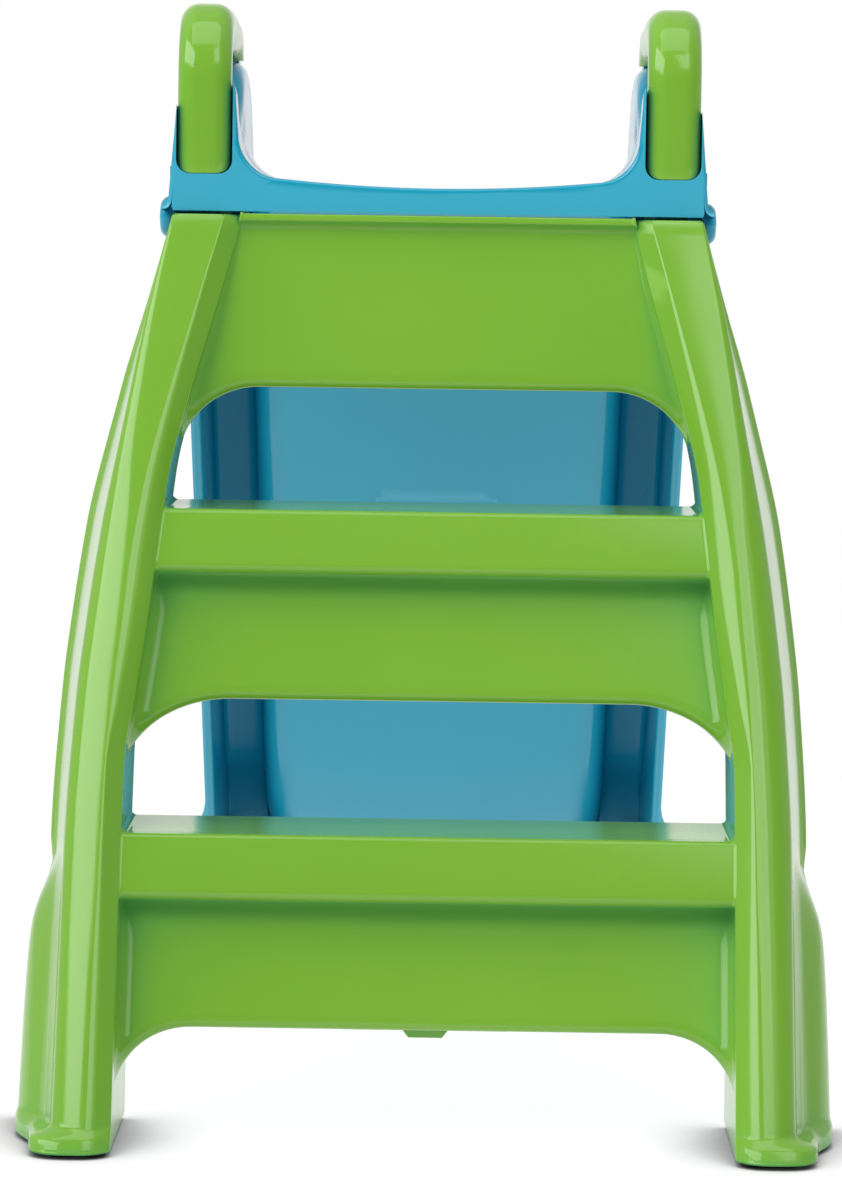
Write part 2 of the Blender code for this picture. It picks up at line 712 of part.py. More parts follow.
def hinge_clip():
    """A push-on ring on the pin's inner end."""
    bore = PIN_RADIUS + GAP
    profile = [(bore, 0.1172), (0.0075, 0.1172), (0.0082, 0.1162), (0.0060, 0.1146), (bore, 0.1142)]
    return ring_piece("clip", profile)


def catch_plate():
    """The sprung catch: a barrel on the pin, a plate under the riser, a finger lug and a hook."""
    barrel = moved(rod("barrel", 0.0042, -CATCH_HALF, CATCH_HALF, 14), 0, CATCH_Y, CATCH_Z)
    top = CATCH_Z - 0.0030
    low = 0.0585
    neck = block("neck", (-CATCH_HALF, CATCH_Y - 0.003, low), (CATCH_HALF, CATCH_Y + 0.003, top))
    plate = block("plate", (-CATCH_HALF, CATCH_Y - 0.0105, low), (CATCH_HALF, CATCH_Y + 0.042, low + 0.0022))
    lug_low = 0.0545
    bevel = 0.004
    outline = [(-LUG_HALF, low + 0.001), (LUG_HALF, low + 0.001), (LUG_HALF - bevel, lug_low),
               (bevel - LUG_HALF, lug_low)]
    lug = slab("finger_lug", outline, CATCH_Y - 0.010, 0.012)
    hook = block("hook", (-0.020, CATCH_Y + 0.038, low + 0.001), (0.020, CATCH_Y + 0.042, low + 0.009))
    join(barrel, neck, plate, lug, hook)
    window = block("window", (-0.006, CATCH_Y - 0.006, low + 0.0035), (0.006, CATCH_Y + 0.006, CATCH_Z + 0.006))
    cut(barrel, window)
    bore = moved(rod("bore", CATCH_PIN_RADIUS + GAP, -0.06, 0.06, 12), 0, CATCH_Y, CATCH_Z)
    return cut(barrel, bore)


def catch_spring():
    """A coil round the pin in the catch's window."""
    turns = 4
    per_turn = 14
    radius = 0.0031
    length = 0.0095
    steps = turns * per_turn
    path = bpy.data.curves.new("coil", "CURVE")
    path.dimensions = "3D"
    path.bevel_depth = 0.0006
    path.bevel_resolution = 2
    path.use_fill_caps = True
    line = path.splines.new("POLY")
    line.points.add(steps)
    for i in range(steps + 1):
        turn = 2 * pi * i / per_turn
        x = -length / 2 + length * i / steps
        line.points[i].co = (x, CATCH_Y + radius * cos(turn), CATCH_Z + radius * sin(turn), 1.0)
    curve = link(bpy.data.objects.new("coil", path), CUTTERS)
    bpy.context.view_layer.update()
    mesh = bpy.data.meshes.new_from_object(curve.evaluated_get(bpy.context.evaluated_depsgraph_get()))
    bpy.data.objects.remove(curve, do_unlink=True)
    return face_outwards(link(bpy.data.objects.new("coil", mesh), CUTTERS))


def pad(name, x_low, x_high, y_low, y_high):
    """A flat non-slip pad with rounded corners."""
    near_x, far_x = x_low + PAD_CORNER, x_high - PAD_CORNER
    near_y, far_y = y_low + PAD_CORNER, y_high - PAD_CORNER
    outline = []
    for quarter, centre in enumerate(((far_x, far_y), (near_x, far_y), (near_x, near_y), (far_x, near_y))):
        outline += arc(centre, PAD_CORNER, 90 * quarter, 90 * quarter + 90, 4)
    return tube(name, [[(x, y, 0.0) for x, y in outline], [(x, y, PAD_THICK) for x, y in outline]])


def pair(make, name, material, parent, pivot):
    """Finish a right-hand piece and its mirror as two objects."""
    right, left = both_sides(make)
    finish(right, name + "_right", material, parent, pivot)
    mirrored_pivot = (-pivot[0], pivot[1], pivot[2])
    finish(left, name + "_left", material, parent, mirrored_pivot)


def main():
    clear_scene()
    green = plastic("green_plastic", (0.21, 0.46, 0.045))
    blue = plastic("blue_plastic", (0.03, 0.36, 0.52))
    steel = plastic("plated_steel", (0.62, 0.63, 0.65), 0.3, 1.0)
    nylon = plastic("white_nylon", (0.78, 0.78, 0.74), 0.45)
    rubber = plastic("dark_rubber", (0.03, 0.03, 0.03), 0.8)

    lip = empty("platform_edge", (0.0, 0.0, 0.0))
    hinge = empty("ladder_hinge", (0.0, HINGE_Y, HINGE_Z), lip)
    catch_axis = empty("catch_axis", (0.0, CATCH_Y, CATCH_Z), hinge)

    finish(chute(), "slide_chute", blue, lip)
    finish(ladder(), "ladder_frame", green, hinge, (0.0, HINGE_Y, HINGE_Z))
    pair(handle, "handrail", green, lip, (SCREW_X, 0.0, HANDLE_BOTTOM))
    for y, place in zip(SCREW_PLACES, ("front", "rear")):
        pair(lambda: screw(y), "handrail_screw_" + place, steel, lip, (SCREW_X, y, HANDLE_BOTTOM))
    axis_point = (LUG_INNER, HINGE_Y, HINGE_Z)
    pair(hinge_pin, "hinge_pin", steel, lip, axis_point)
    pair(hinge_clip, "hinge_clip", steel, lip, axis_point)
    pair(hinge_bush, "hinge_bush", nylon, hinge, axis_point)

    catch_point = (0.0, CATCH_Y, CATCH_Z)
    finish(catch_plate(), "storage_catch", green, catch_axis, catch_point)
    pin_end = CATCH_HALF + 0.0048
    pin = moved(rod("catch_pin", CATCH_PIN_RADIUS, -pin_end, pin_end, 12), 0, CATCH_Y, CATCH_Z)
    finish(pin, "catch_pin", steel, hinge, catch_point)
    finish(catch_spring(), "catch_spring", steel, hinge, catch_point)

    foot_front = COLUMN_FOOT_Y
    pair(lambda: pad("pad", *LADDER_PAD, foot_front + 0.006, foot_front + 0.100), "ladder_pad", rubber,
         hinge, (0.192, foot_front + 0.05, 0.0))
    pair(lambda: pad("pad", *CHUTE_PAD, CHUTE_REACH - 0.033, CHUTE_REACH - 0.006), "chute_pad", rubber,
         lip, (0.170, CHUTE_REACH - 0.02, 0.0))


main()
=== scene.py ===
"""Visual model of the fold-up toddler slide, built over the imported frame."""

from math import cos, pi, radians, sin, sqrt, tan

import bmesh
import bpy
from mathutils import Matrix, Vector


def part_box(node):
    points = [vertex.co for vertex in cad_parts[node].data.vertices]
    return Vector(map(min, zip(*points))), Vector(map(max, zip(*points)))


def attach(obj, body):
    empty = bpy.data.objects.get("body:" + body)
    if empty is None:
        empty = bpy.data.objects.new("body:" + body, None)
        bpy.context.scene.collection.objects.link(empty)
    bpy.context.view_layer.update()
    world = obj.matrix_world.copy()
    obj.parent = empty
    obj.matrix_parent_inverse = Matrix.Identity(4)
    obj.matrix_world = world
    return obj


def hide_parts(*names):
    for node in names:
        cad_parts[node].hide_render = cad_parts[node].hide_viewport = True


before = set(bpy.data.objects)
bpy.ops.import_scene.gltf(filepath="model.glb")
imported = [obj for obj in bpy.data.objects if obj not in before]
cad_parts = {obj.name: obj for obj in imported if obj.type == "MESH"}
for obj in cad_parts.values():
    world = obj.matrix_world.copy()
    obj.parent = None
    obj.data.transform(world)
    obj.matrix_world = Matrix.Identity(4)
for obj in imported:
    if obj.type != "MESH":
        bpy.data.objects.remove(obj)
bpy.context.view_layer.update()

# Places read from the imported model
_, CHUTE_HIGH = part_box("slide_chute")
LADDER_LOW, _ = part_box("ladder_frame")
PIN_LOW, PIN_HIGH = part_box("hinge_pin_right")
HANDLE_LOW, HANDLE_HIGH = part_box("handrail_right")
_, CATCH_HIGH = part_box("storage_catch")
CATCH_PIN_LOW, CATCH_PIN_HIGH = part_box("catch_pin")

LIP_Y = HANDLE_LOW.y                    # the platform's rear face, which the handles' legs share
CHUTE_REACH = CHUTE_HIGH.y - LIP_Y
SOLE_Z = LADDER_LOW.z
CATCH_Y = (CATCH_PIN_LOW.y + CATCH_PIN_HIGH.y) / 2 - LIP_Y
CATCH_Z = (CATCH_PIN_LOW.z + CATCH_PIN_HIGH.z) / 2
CATCH_HALF = CATCH_HIGH.x
HINGE_Y = (PIN_LOW.y + PIN_HIGH.y) / 2 - LIP_Y
HINGE_Z = (PIN_LOW.z + PIN_HIGH.z) / 2
HANDLE_TOP = HANDLE_HIGH.z
HANDLE_INNER = HANDLE_LOW.x
HANDLE_OUTER = HANDLE_HIGH.x + 0.001
LEG_DROP = 0.0023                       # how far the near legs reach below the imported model's
LEG_END = HANDLE_LOW.z - LEG_DROP
HANDLE_REACH = HANDLE_HIGH.y - LIP_Y

# Chute
WALL = 0.003
GAP = 0.0003                            # clearance between pieces that touch
LIP_BOTTOM = 0.5212
FLOOR_EDGE_RISE = 0.0045
WALL_INNER = 0.1175
RIM_INNER = WALL_INNER + 0.0015         # the rounded rim starts a little outside the inner face
WALL_OUTER_TOP = 0.1537
SKIRT_HALF = 0.1582
FLANGE_HALF = 0.162
TOE_HALF = 0.190
FILLET = 0.026
RIM_SQUARE = 0.60                       # below 1, the rim's rounding is squarer than an ellipse
EAR_RADIUS = 0.0125
BOSS_HALF = 0.1644                      # outside of the dome over the hinge pin's end
PIN_HOLE = 0.0043
SCREW_HEAD = 0.0026
KEEPER_Y = 0.452                        # rib under the chute, near the folded ladder's catch
KEEPER_HALF = 0.040
SEAT_TOP = 0.6115                       # flat top of the seat under the handle's far leg

# Ladder
LEAN = 0.429
PLINTH_OUT = 0.004
FOOT_OUT = 0.020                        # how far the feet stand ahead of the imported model's
FOOT_Y = LADDER_LOW.y - LIP_Y + PLINTH_OUT - FOOT_OUT - LEAN * SOLE_Z
SLOPE_DEPTH = 0.010
SLOPE_TURN = 44                         # degrees the rail's inner slope leans from its front face
WALL_DRAFT = 0.0006
ROUND_DEPTH = 0.85                      # depth of the rail's outer rounding over its width
FLARE = 0.0135                          # how far the rail's side wall spreads towards its rear
LIP_SPAN = 0.0075                       # width of the fine lip along the rail's rear edge
RISER_DEPTH = 0.034
TREAD_DEPTH = 0.098
NOSING_HEIGHT = 0.0363
LOWER_TREAD = 0.1714
UPPER_TREAD = 0.3505
RAIL_TOP = 0.5193
PANEL_TOP = 0.5200
PLINTH_HEIGHT = 0.013
LOBE_TOP = 0.152
ARCH_ROUND = 0.0046                     # rounding of the edges over the openings
ARCH_RETURN = 0.012                     # the lip that runs rearwards from it
# Each arch: flat half width, height, height at the rails, its riser's depth and its riser's fillet
LOWER_ARCH = (0.1317, 0.0641, 0.0286, RISER_DEPTH, 0.0080)
UPPER_ARCH = (0.1150, 0.2425, 0.2059, RISER_DEPTH, 0.0085)
PANEL_ARCH = (0.1040, 0.4190, 0.3880, RISER_DEPTH * 0.85, 0.0035)
LUG_INNER = 0.129
LUG_OUTER = 0.147
LUG_RADIUS = 0.0105
BUSH_HOLE = 0.0068
CATCH_PIN_HOLE = 0.0018

# Camera, with its angles in degrees
CAMERA_PLACE = (0.013, -3.50, 0.5543)
CAMERA_LENS = 164.1                     # mm, on a sensor 36 mm wide
CAMERA_DOWN = 4.630
CAMERA_ROLL = 0.82
CAMERA_SWING = 0.351


def smooth_curve(knots):
    """A smooth function through (place, value) knots that doesn't overshoot between them."""
    places = [knot[0] for knot in knots]
    values = [knot[1] for knot in knots]
    spans = [b - a for a, b in zip(places, places[1:])]
    secants = [(b - a) / span for a, b, span in zip(values, values[1:], spans)]
    slopes = [secants[0]]
    for before, after in zip(secants, secants[1:]):
        slopes.append(0.0 if before * after <= 0 else 2 * before * after / (before + after))
    slopes.append(secants[-1])

    def value(place):
        place = min(max(place, places[0]), places[-1])
        i = 0
        while i < len(spans) - 1 and place > places[i + 1]:
            i += 1
        t = (place - places[i]) / spans[i]
        start = values[i] * (1 + 2 * t) + slopes[i] * spans[i] * t
        end = values[i + 1] * (3 - 2 * t) - slopes[i + 1] * spans[i] * (1 - t)
        return start * (1 - t) ** 2 + end * t ** 2

    return value


# Heights along the chute, counted from the platform's rear face
floor_z = smooth_curve([(0.0, 0.5360), (0.14, 0.5345), (0.22, 0.5280), (0.28, 0.4960), (0.34, 0.4400),
                        (0.43, 0.3480), (0.51, 0.2700), (0.59, 0.1830), (0.66, 0.1100),
                        (0.72, 0.0650), (0.76, 0.0520), (0.79, 0.0450)])
rim_z = smooth_curve([(0.0, 0.6020), (0.03, 0.5985), (0.075, 0.5740), (0.105, 0.5860), (0.13, 0.6050),
                      (0.155, 0.6116), (0.19, 0.6116), (0.225, 0.6060), (0.26, 0.5880), (0.305, 0.5450),
                      (0.34, 0.5080), (0.43, 0.4130), (0.51, 0.3330), (0.59, 0.2480), (0.66, 0.1750),
                      (0.72, 0.1260), (0.76, 0.1080), (0.78, 0.0900), (0.79, 0.0750)])
flange_z = smooth_curve([(0.0, LIP_BOTTOM), (0.20, LIP_BOTTOM - 0.002), (0.25, 0.5000),
                         (0.30, 0.4600), (0.398, 0.3620), (0.59, 0.1640), (0.672, 0.0780),
                         (0.73, 0.0230), (0.755, SOLE_Z), (0.79, SOLE_Z)])
flange_half = smooth_curve([(0.0, SKIRT_HALF + 0.001), (0.05, FLANGE_HALF), (0.655, FLANGE_HALF),
                            (0.70, 0.180), (0.745, TOE_HALF), (0.79, TOE_HALF - 0.004)])

# Ladder rail, by height
face_outer = smooth_curve([(0.0, 0.2072), (0.085, 0.2065), (0.162, 0.2061), (0.244, 0.2023),
                           (0.282, 0.1986), (0.340, 0.1910), (0.390, 0.1818), (0.474, 0.1661),
                           (RAIL_TOP, 0.1553)])
face_inner = smooth_curve([(0.0, 0.1834), (0.053, 0.1830), (0.161, 0.1832), (0.210, 0.1825),
                           (0.245, 0.1776), (0.282, 0.1721), (0.345, 0.1648), (0.390, 0.1571),
                           (0.474, 0.1370), (RAIL_TOP, 0.1245)])
step_edge = smooth_curve([(0.0, 0.1732), (0.053, 0.1734), (0.161, 0.1733), (0.210, 0.1730),
                          (0.245, 0.1684), (0.282, 0.1632), (0.345, 0.1559), (0.372, 0.1526),
                          (0.395, 0.1476), (0.474, 0.1258), (RAIL_TOP, 0.1138)])
rail_depth = smooth_curve([(0.0, 0.132), (0.12, 0.112), (0.17, 0.106), (0.34, 0.100),
                           (0.42, 0.082), (0.50, 0.026), (RAIL_TOP, 0.018)])
lobe_half = smooth_curve([(0.0, 0.2308), (0.084, 0.2283), (0.118, 0.2259), (0.152, 0.2176)])
outer_round = smooth_curve([(0.0, 0.0185), (0.085, 0.0190), (0.162, 0.0210), (0.282, 0.0200),
                            (0.340, 0.0170), (0.390, 0.0095), (0.474, 0.0045), (RAIL_TOP, 0.0020)])
inner_round = smooth_curve([(0.0, 0.0170), (0.300, 0.0170), (0.390, 0.0100), (0.474, 0.0035),
                            (RAIL_TOP, 0.0016)])


def front_y(z):
    """The plane of the rails' front faces."""
    return FOOT_Y + LEAN * z


# ------------------------------ mesh helpers

def arc(centre, radius, start, end, steps):
    """Points round a circle, or an ellipse when radius is a pair, in degrees."""
    across, up = radius if isinstance(radius, tuple) else (radius, radius)
    turns = [radians(start + (end - start) * i / steps) for i in range(steps + 1)]
    return [(centre[0] + across * cos(turn), centre[1] + up * sin(turn)) for turn in turns]


def rounded(corner, before, after, radius, steps):
    """Points of the arc that rounds a polyline's corner, from the side of before to that of after."""
    corner, before, after = Vector(corner), Vector(before), Vector(after)
    to_before = (before - corner).normalized()
    to_after = (after - corner).normalized()
    half = to_before.angle(to_after) / 2
    reach = min(radius / tan(half), (before - corner).length * 0.95, (after - corner).length * 0.95)
    radius = reach * tan(half)
    centre = corner + (to_before + to_after).normalized() * (radius / sin(half))
    first = corner + to_before * reach - centre
    last = corner + to_after * reach - centre
    sweep = first.angle_signed(last)
    points = []
    for i in range(steps + 1):
        turn = -sweep * i / steps
        points.append((centre.x + first.x * cos(turn) - first.y * sin(turn),
                       centre.y + first.x * sin(turn) + first.y * cos(turn)))
    return points


def rounded_line(corners, radii, steps=5):
    """A polyline whose inner corners are rounded, each by its own radius."""
    points = [tuple(corners[0])]
    for i in range(1, len(corners) - 1):
        points += rounded(corners[i], corners[i - 1], corners[i + 1], radii[i - 1], steps)
    points.append(tuple(corners[-1]))
    return points


def mesh_object(name, points, faces):
    mesh = bpy.data.meshes.new(name)
    mesh.from_pydata([Vector((x, y + LIP_Y, z)) for x, y, z in points], [], faces)
    mesh.update()
    thing = bpy.data.objects.new(name, mesh)
    bpy.context.scene.collection.objects.link(thing)
    return thing


def grid_faces(rows, columns, closed=False):
    faces = []
    for r in range(rows - 1):
        for c in range(columns if closed else columns - 1):
            a = r * columns + c
            b = r * columns + (c + 1) % columns
            faces.append((a, b, b + columns, a + columns))
    return faces


def sheet_object(name, rows):
    """A surface through rows of points."""
    points = [point for row in rows for point in row]
    return mesh_object(name, points, grid_faces(len(rows), len(rows[0])))


def tube_object(name, rings):
    """A closed skin over rings of points, with both ends filled."""
    points = [point for ring in rings for point in ring]
    count = len(rings[0])
    faces = grid_faces(len(rings), count, closed=True)
    faces.append(tuple(range(count))[::-1])
    faces.append(tuple(range(len(points) - count, len(points))))
    return tidy(mesh_object(name, points, faces))


def tidy(thing, front=None):
    """Merge doubled points and turn the faces outwards, or towards front on an open sheet."""
    work = bmesh.new()
    work.from_mesh(thing.data)
    bmesh.ops.remove_doubles(work, verts=work.verts, dist=0.00001)
    bmesh.ops.dissolve_degenerate(work, edges=work.edges, dist=0.000001)
    bmesh.ops.recalc_face_normals(work, faces=work.faces)
    work.normal_update()
    if front is None:
        facing = work.calc_volume(signed=True)
    else:
        facing = sum(face.normal.dot(Vector(front)) * face.calc_area() for face in work.faces)
    if facing < 0:
        bmesh.ops.reverse_faces(work, faces=work.faces)
    work.to_mesh(thing.data)
    work.free()
    return thing


def bake(thing):
    """Replace an object's mesh with what its modifiers make of it."""
    graph = bpy.context.evaluated_depsgraph_get()
    graph.update()
    mesh = bpy.data.meshes.new_from_object(thing.evaluated_get(graph))
    thing.modifiers.clear()
    thing.data = mesh
    return thing


def thicken(thing, thickness=WALL):
    solid = thing.modifiers.new("wall", "SOLIDIFY")
    solid.thickness = thickness
    solid.offset = -1.0
    solid.use_even_offset = False
    return tidy(bake(thing))


def combine(thing, tool, operation):
    step = thing.modifiers.new(operation.lower(), "BOOLEAN")
    step.operation = operation
    step.solver = "MANIFOLD"
    step.object = tool
    bake(thing)
    bpy.data.objects.remove(tool, do_unlink=True)
    return thing


def mirrored(thing, name):
    copy = thing.copy()
    copy.data = thing.data.copy()
    copy.name = name
    bpy.context.scene.collection.objects.link(copy)
    copy.data.transform(Matrix.Scale(-1, 4, (1, 0, 0)))
    copy.data.flip_normals()
    return copy


def soften(thing, width=0.0008, segments=3, angle=38):
    """Round the sharp edges that are left and shade the whole shape smooth."""
    edge = thing.modifiers.new("edges", "BEVEL")
    edge.width = width
    edge.segments = segments
    edge.limit_method = "ANGLE"
    edge.angle_limit = radians(angle)
    edge.harden_normals = True
    thing.data.shade_smooth()
    bake(thing)
    thing.data.shade_smooth()
    return thing


def prism(name, outline, start, thickness, axis="Y"):
    """A flat outline of (u, v) points, extruded from start along +Y or +X."""
    if axis == "Y":
        rings = [[(u, start, v) for u, v in outline], [(u, start + thickness, v) for u, v in outline]]
    else:
        rings = [[(start, u, v) for u, v in outline], [(start + thickness, u, v) for u, v in outline]]
    return tube_object(name, rings)


# ------------------------------ ladder

def inner_wall(y, z):
    """The rail's inner face at a place, which leans inwards a little towards the rear."""
    back = (y - front_y(z) - SLOPE_DEPTH) / (rail_depth(z) - SLOPE_DEPTH)
    return step_edge(z) - WALL_DRAFT * min(max(back, 0.0), 1.0)


def lobe_share(z):
    """How much of the foot's rear lobe stands out at a height."""
    start = 0.108
    if z >= LOBE_TOP:
        return 0.0
    if z <= start:
        return 1.0
    return sqrt(1 - ((z - start) / (LOBE_TOP - start)) ** 2)


def plinth_share(z):
    """1 round the plinth, 0 above it, with a soft step between."""
    low = PLINTH_HEIGHT - 0.003
    high = PLINTH_HEIGHT + 0.0035
    t = min(max((z - low) / (high - low), 0.0), 1.0)
    return 0.5 + 0.5 * cos(pi * t)


def rail_section(z, inset=0.0):
    """One rail's outline at a height as (x, depth), from its rear outer edge round the front."""
    depth = rail_depth(z)
    plinth = plinth_share(z)
    lobe = lobe_share(z)
    outer = face_outer(z) + 0.0115 * plinth - inset
    inner = face_inner(z) - 0.001 * plinth + inset
    nose = -PLINTH_OUT * plinth + inset
    width = outer_round(z)
    drop = width * ROUND_DEPTH
    flare = FLARE * min(1.0, depth / 0.1) ** 2
    waist = face_outer(z) + 0.0050 + 0.0085 * plinth
    rear = lobe_half(z) + 0.0012 * plinth

    def side(d):
        share = (d - drop) / (depth - drop)
        straight = outer + (flare - 0.002) * share
        lip = 0.002 * min(max((d - depth + 0.007) / 0.004, 0.0), 1.0) ** 2
        if lobe == 0.0:
            return straight + lip
        t = min(max((d / depth - 0.30) / 0.34, 0.0), 1.0)
        bulge = (1 - (1 - t) ** 2.4) ** 1.6
        swell = min(4 * (d - drop) / (depth - LIP_SPAN - drop), 1.0)
        base = straight + (waist - straight) * lobe * swell ** 2 * (3 - 2 * swell)
        return base + (rear - inset - base) * bulge * lobe + lip * (1 - lobe)

    places = [depth - LIP_SPAN * i / 5 for i in range(6)]
    places += [drop + (depth - LIP_SPAN - drop) * i / 16 for i in range(15, 0, -1)]
    points = [(side(d), d) for d in places]
    points += [(x, y + nose) for x, y in arc((outer - width, drop), (width, drop), 0, -90, 12)]
    corners = [(outer - width, nose), (inner, nose), (step_edge(z) + inset, SLOPE_DEPTH + nose),
               (step_edge(z) + inset - WALL_DRAFT, depth)]
    points += rounded_line(corners, [inner_round(z), 0.0022], 7)[1:]
    return points


def rail():
    """A thin rail, open at the rear, with a sole below and a cap on top."""
    edge = 0.0022
    heights = [SOLE_Z + 0.0012, SOLE_Z + 0.0028]
    heights += [0.0075, 0.0100, 0.0112, 0.0124, 0.0136, 0.0148, 0.0158, 0.0168, 0.0185, 0.022]
    heights += [0.030 + (RAIL_TOP - edge - 0.030) * i / 72 for i in range(73)]
    rows = [[(x, front_y(SOLE_Z) + y, SOLE_Z) for x, y in rail_section(SOLE_Z, 0.0012)]]
    for z in heights:
        rows.append([(x, front_y(z) + y, z) for x, y in rail_section(z)])
    for turn in (30, 60, 90):
        z = RAIL_TOP - edge + edge * sin(radians(turn))
        inset = edge * (1 - cos(radians(turn)))
        rows.append([(x, front_y(z) + y, z) for x, y in rail_section(RAIL_TOP - edge, inset)])
    wall = thicken(tidy(sheet_object("ladder_rail_right", rows), (0, -1, 0)))
    cap = [(RAIL_TOP - WALL, 0.0010), (RAIL_TOP - 0.0004, 0.0016), (RAIL_TOP, edge)]
    sole = [(SOLE_Z, 0.0012), (SOLE_Z + 0.0010, 0.0008), (SOLE_Z + WALL, 0.0008)]
    for name, layers, level in (("cap", cap, RAIL_TOP - edge), ("sole", sole, SOLE_Z)):
        rings = []
        for z, inset in layers:
            rings.append([(x, front_y(min(z, level)) + y, z) for x, y in rail_section(level, inset)])
        combine(wall, tube_object(name, rings), "UNION")
    return wall


def spread(half, radius, swing):
    """Places across a step as (x, lift off it): flat, then a fillet that turns by swing degrees."""
    start = half - radius * tan(radians(swing / 2))
    places = [(start * (1 - (1 - i / 26) ** 1.8), 0.0) for i in range(26)]
    for i in range(10):
        turn = radians(swing * i / 9)
        places.append((start + radius * sin(turn), radius * (1 - cos(turn))))
    x, lift = places[-1]
    tuck = 0.0012 * (swing - SLOPE_TURN) / (90 - SLOPE_TURN)
    return places + [(x + 0.0012, lift + tuck)]


def step_rows(profile, radii, arch):
    """Rows over a step's tread and nosing and down its riser, ending in the rounded arch below it.

    profile is a list of (y, z) from the rear over the front to the top of the riser, radii the
    fillet's radius at each of its points.
    """
    flat_half, flat_z, rail_z, low_depth, radius = arch
    rows = []
    last = len(profile) - 1
    for i, (y, z) in enumerate(profile):
        before = Vector(profile[max(i - 1, 0)])
        after = Vector(profile[min(i + 1, last)])
        along = (after - before).normalized()
        buried = (y - front_y(z) - SLOPE_DEPTH) / 0.003
        swing = SLOPE_TURN + (90 - SLOPE_TURN) * min(max(buried, 0.0), 1.0)
        rows.append([(x, y + along.y * lift, z - along.x * lift)
                     for x, lift in spread(inner_wall(y, z), radii[i], swing)])

    top_y, top_z = profile[-1]
    top_depth = top_y - front_y(top_z)
    half_top = inner_wall(top_y, top_z)
    flat_share = flat_half / inner_wall(front_y(flat_z) + low_depth, flat_z)
    steps = 14
    riser = [[] for _ in range(steps + 6)]
    columns = zip(spread(half_top, radii[-1], 90), spread(half_top, radius, 90))
    for (upper_x, upper_lift), (x, lift) in columns:
        share = min(x / half_top, 1.0)
        t = max(share - flat_share, 0.0) / (1.0 - flat_share)
        round_share = sqrt(1 - t * t)
        end_z = rail_z + (flat_z - rail_z) * round_share
        slope = (flat_z - rail_z) * t / max(round_share, 0.05) / ((1.0 - flat_share) * half_top)
        rim = ARCH_ROUND * min(sqrt(1 + slope ** 2), 2.0)
        base_z = end_z + rim
        for k in range(1, steps + 1):
            z = top_z + (base_z - top_z) * k / steps
            depth = top_depth + (low_depth - top_depth) * (top_z - z) / (top_z - flat_z)
            y = front_y(z) + depth
            grown = min(1.0, 5 * k / steps)
            wide = (upper_x + (x - upper_x) * grown) * inner_wall(y, z) / half_top
            raised = (upper_lift + (lift - upper_lift) * grown) / sqrt(1 + LEAN ** 2)
            riser[k - 1].append((wide, y - raised, z + LEAN * raised))
        start = riser[steps - 1][-1]
        for m in range(1, 6):
            bend = radians(18 * m)
            riser[steps - 1 + m].append((start[0], start[1] + ARCH_ROUND * (1 - cos(bend)),
                                         start[2] - rim * sin(bend)))
        riser[steps + 5].append((start[0], start[1] + ARCH_ROUND + ARCH_RETURN, start[2] - rim))
    return rows + riser


def whole_width(half):
    """Points given from the middle to the right, mirrored to the full width."""
    return [(-point[0], *point[1:]) for point in half[:0:-1]] + half


def side_view(corners, bends, steps=6):
    """A rounded side view, with extra points along its straight runs."""
    line = rounded_line(corners, bends, steps)
    full = [line[0]]
    for start, end in zip(line, line[1:]):
        length = (Vector(end) - Vector(start)).length
        pieces = max(1, round(length / 0.012))
        for k in range(1, pieces + 1):
            full.append(tuple(Vector(start).lerp(Vector(end), k / pieces)))
    return full


def step(name, tread, arch):
    nose = tread - NOSING_HEIGHT
    corners = [(front_y(tread) + TREAD_DEPTH, tread),
               (front_y(tread) + SLOPE_DEPTH, tread),
               (front_y(nose) + SLOPE_DEPTH, nose),
               (front_y(nose) + RISER_DEPTH, nose + 0.001),
               (front_y(nose - 0.006) + RISER_DEPTH, nose - 0.006)]
    profile = side_view(corners, [0.0042, 0.0045, 0.0030])
    radii = []
    for y, z in profile:
        under = z < nose + 0.0022 and y > front_y(nose) + SLOPE_DEPTH + 0.004
        radii.append(0.0015 if under else 0.0036)
    skin = sheet_object(name, [whole_width(row) for row in step_rows(profile, radii, arch)])
    return thicken(tidy(skin, (0, -1, 0.3)))


def top_panel():
    top = PANEL_TOP
    corners = [(front_y(top) + 0.012, top), (front_y(top) + 0.0028, top),
               (front_y(top - 0.0040) + 0.0034, top - 0.0040),
               (front_y(top - 0.0062) + 0.0115, top - 0.0062),
               (front_y(top - 0.018) + 0.0135, top - 0.018)]
    profile = side_view(corners, [0.0014, 0.0014, 0.0040])
    rows = step_rows(profile, [0.0020] * len(profile), PANEL_ARCH)
    skin = sheet_object("ladder_top_panel", [whole_width(row) for row in rows])
    return thicken(tidy(skin, (0, -1, 0.3)))


def hinge_lug():
    """The rib inside the rail's top that carries the hinge bush."""
    foot = 0.462
    outline = arc((HINGE_Y, HINGE_Z), LUG_RADIUS, 100, -60, 18)
    outline += [(front_y(foot) + 0.030, foot), (front_y(foot) + SLOPE_DEPTH + 0.0018, foot),
                (front_y(0.490) + 0.0058, 0.490), (front_y(0.510) + 0.002, 0.510), (0.004, 0.514)]
    lug = prism("hinge_lug", outline, LUG_INNER, LUG_OUTER - LUG_INNER, axis="X")
    return drill(lug, "bush_hole", BUSH_HOLE, 0.12, 0.16)


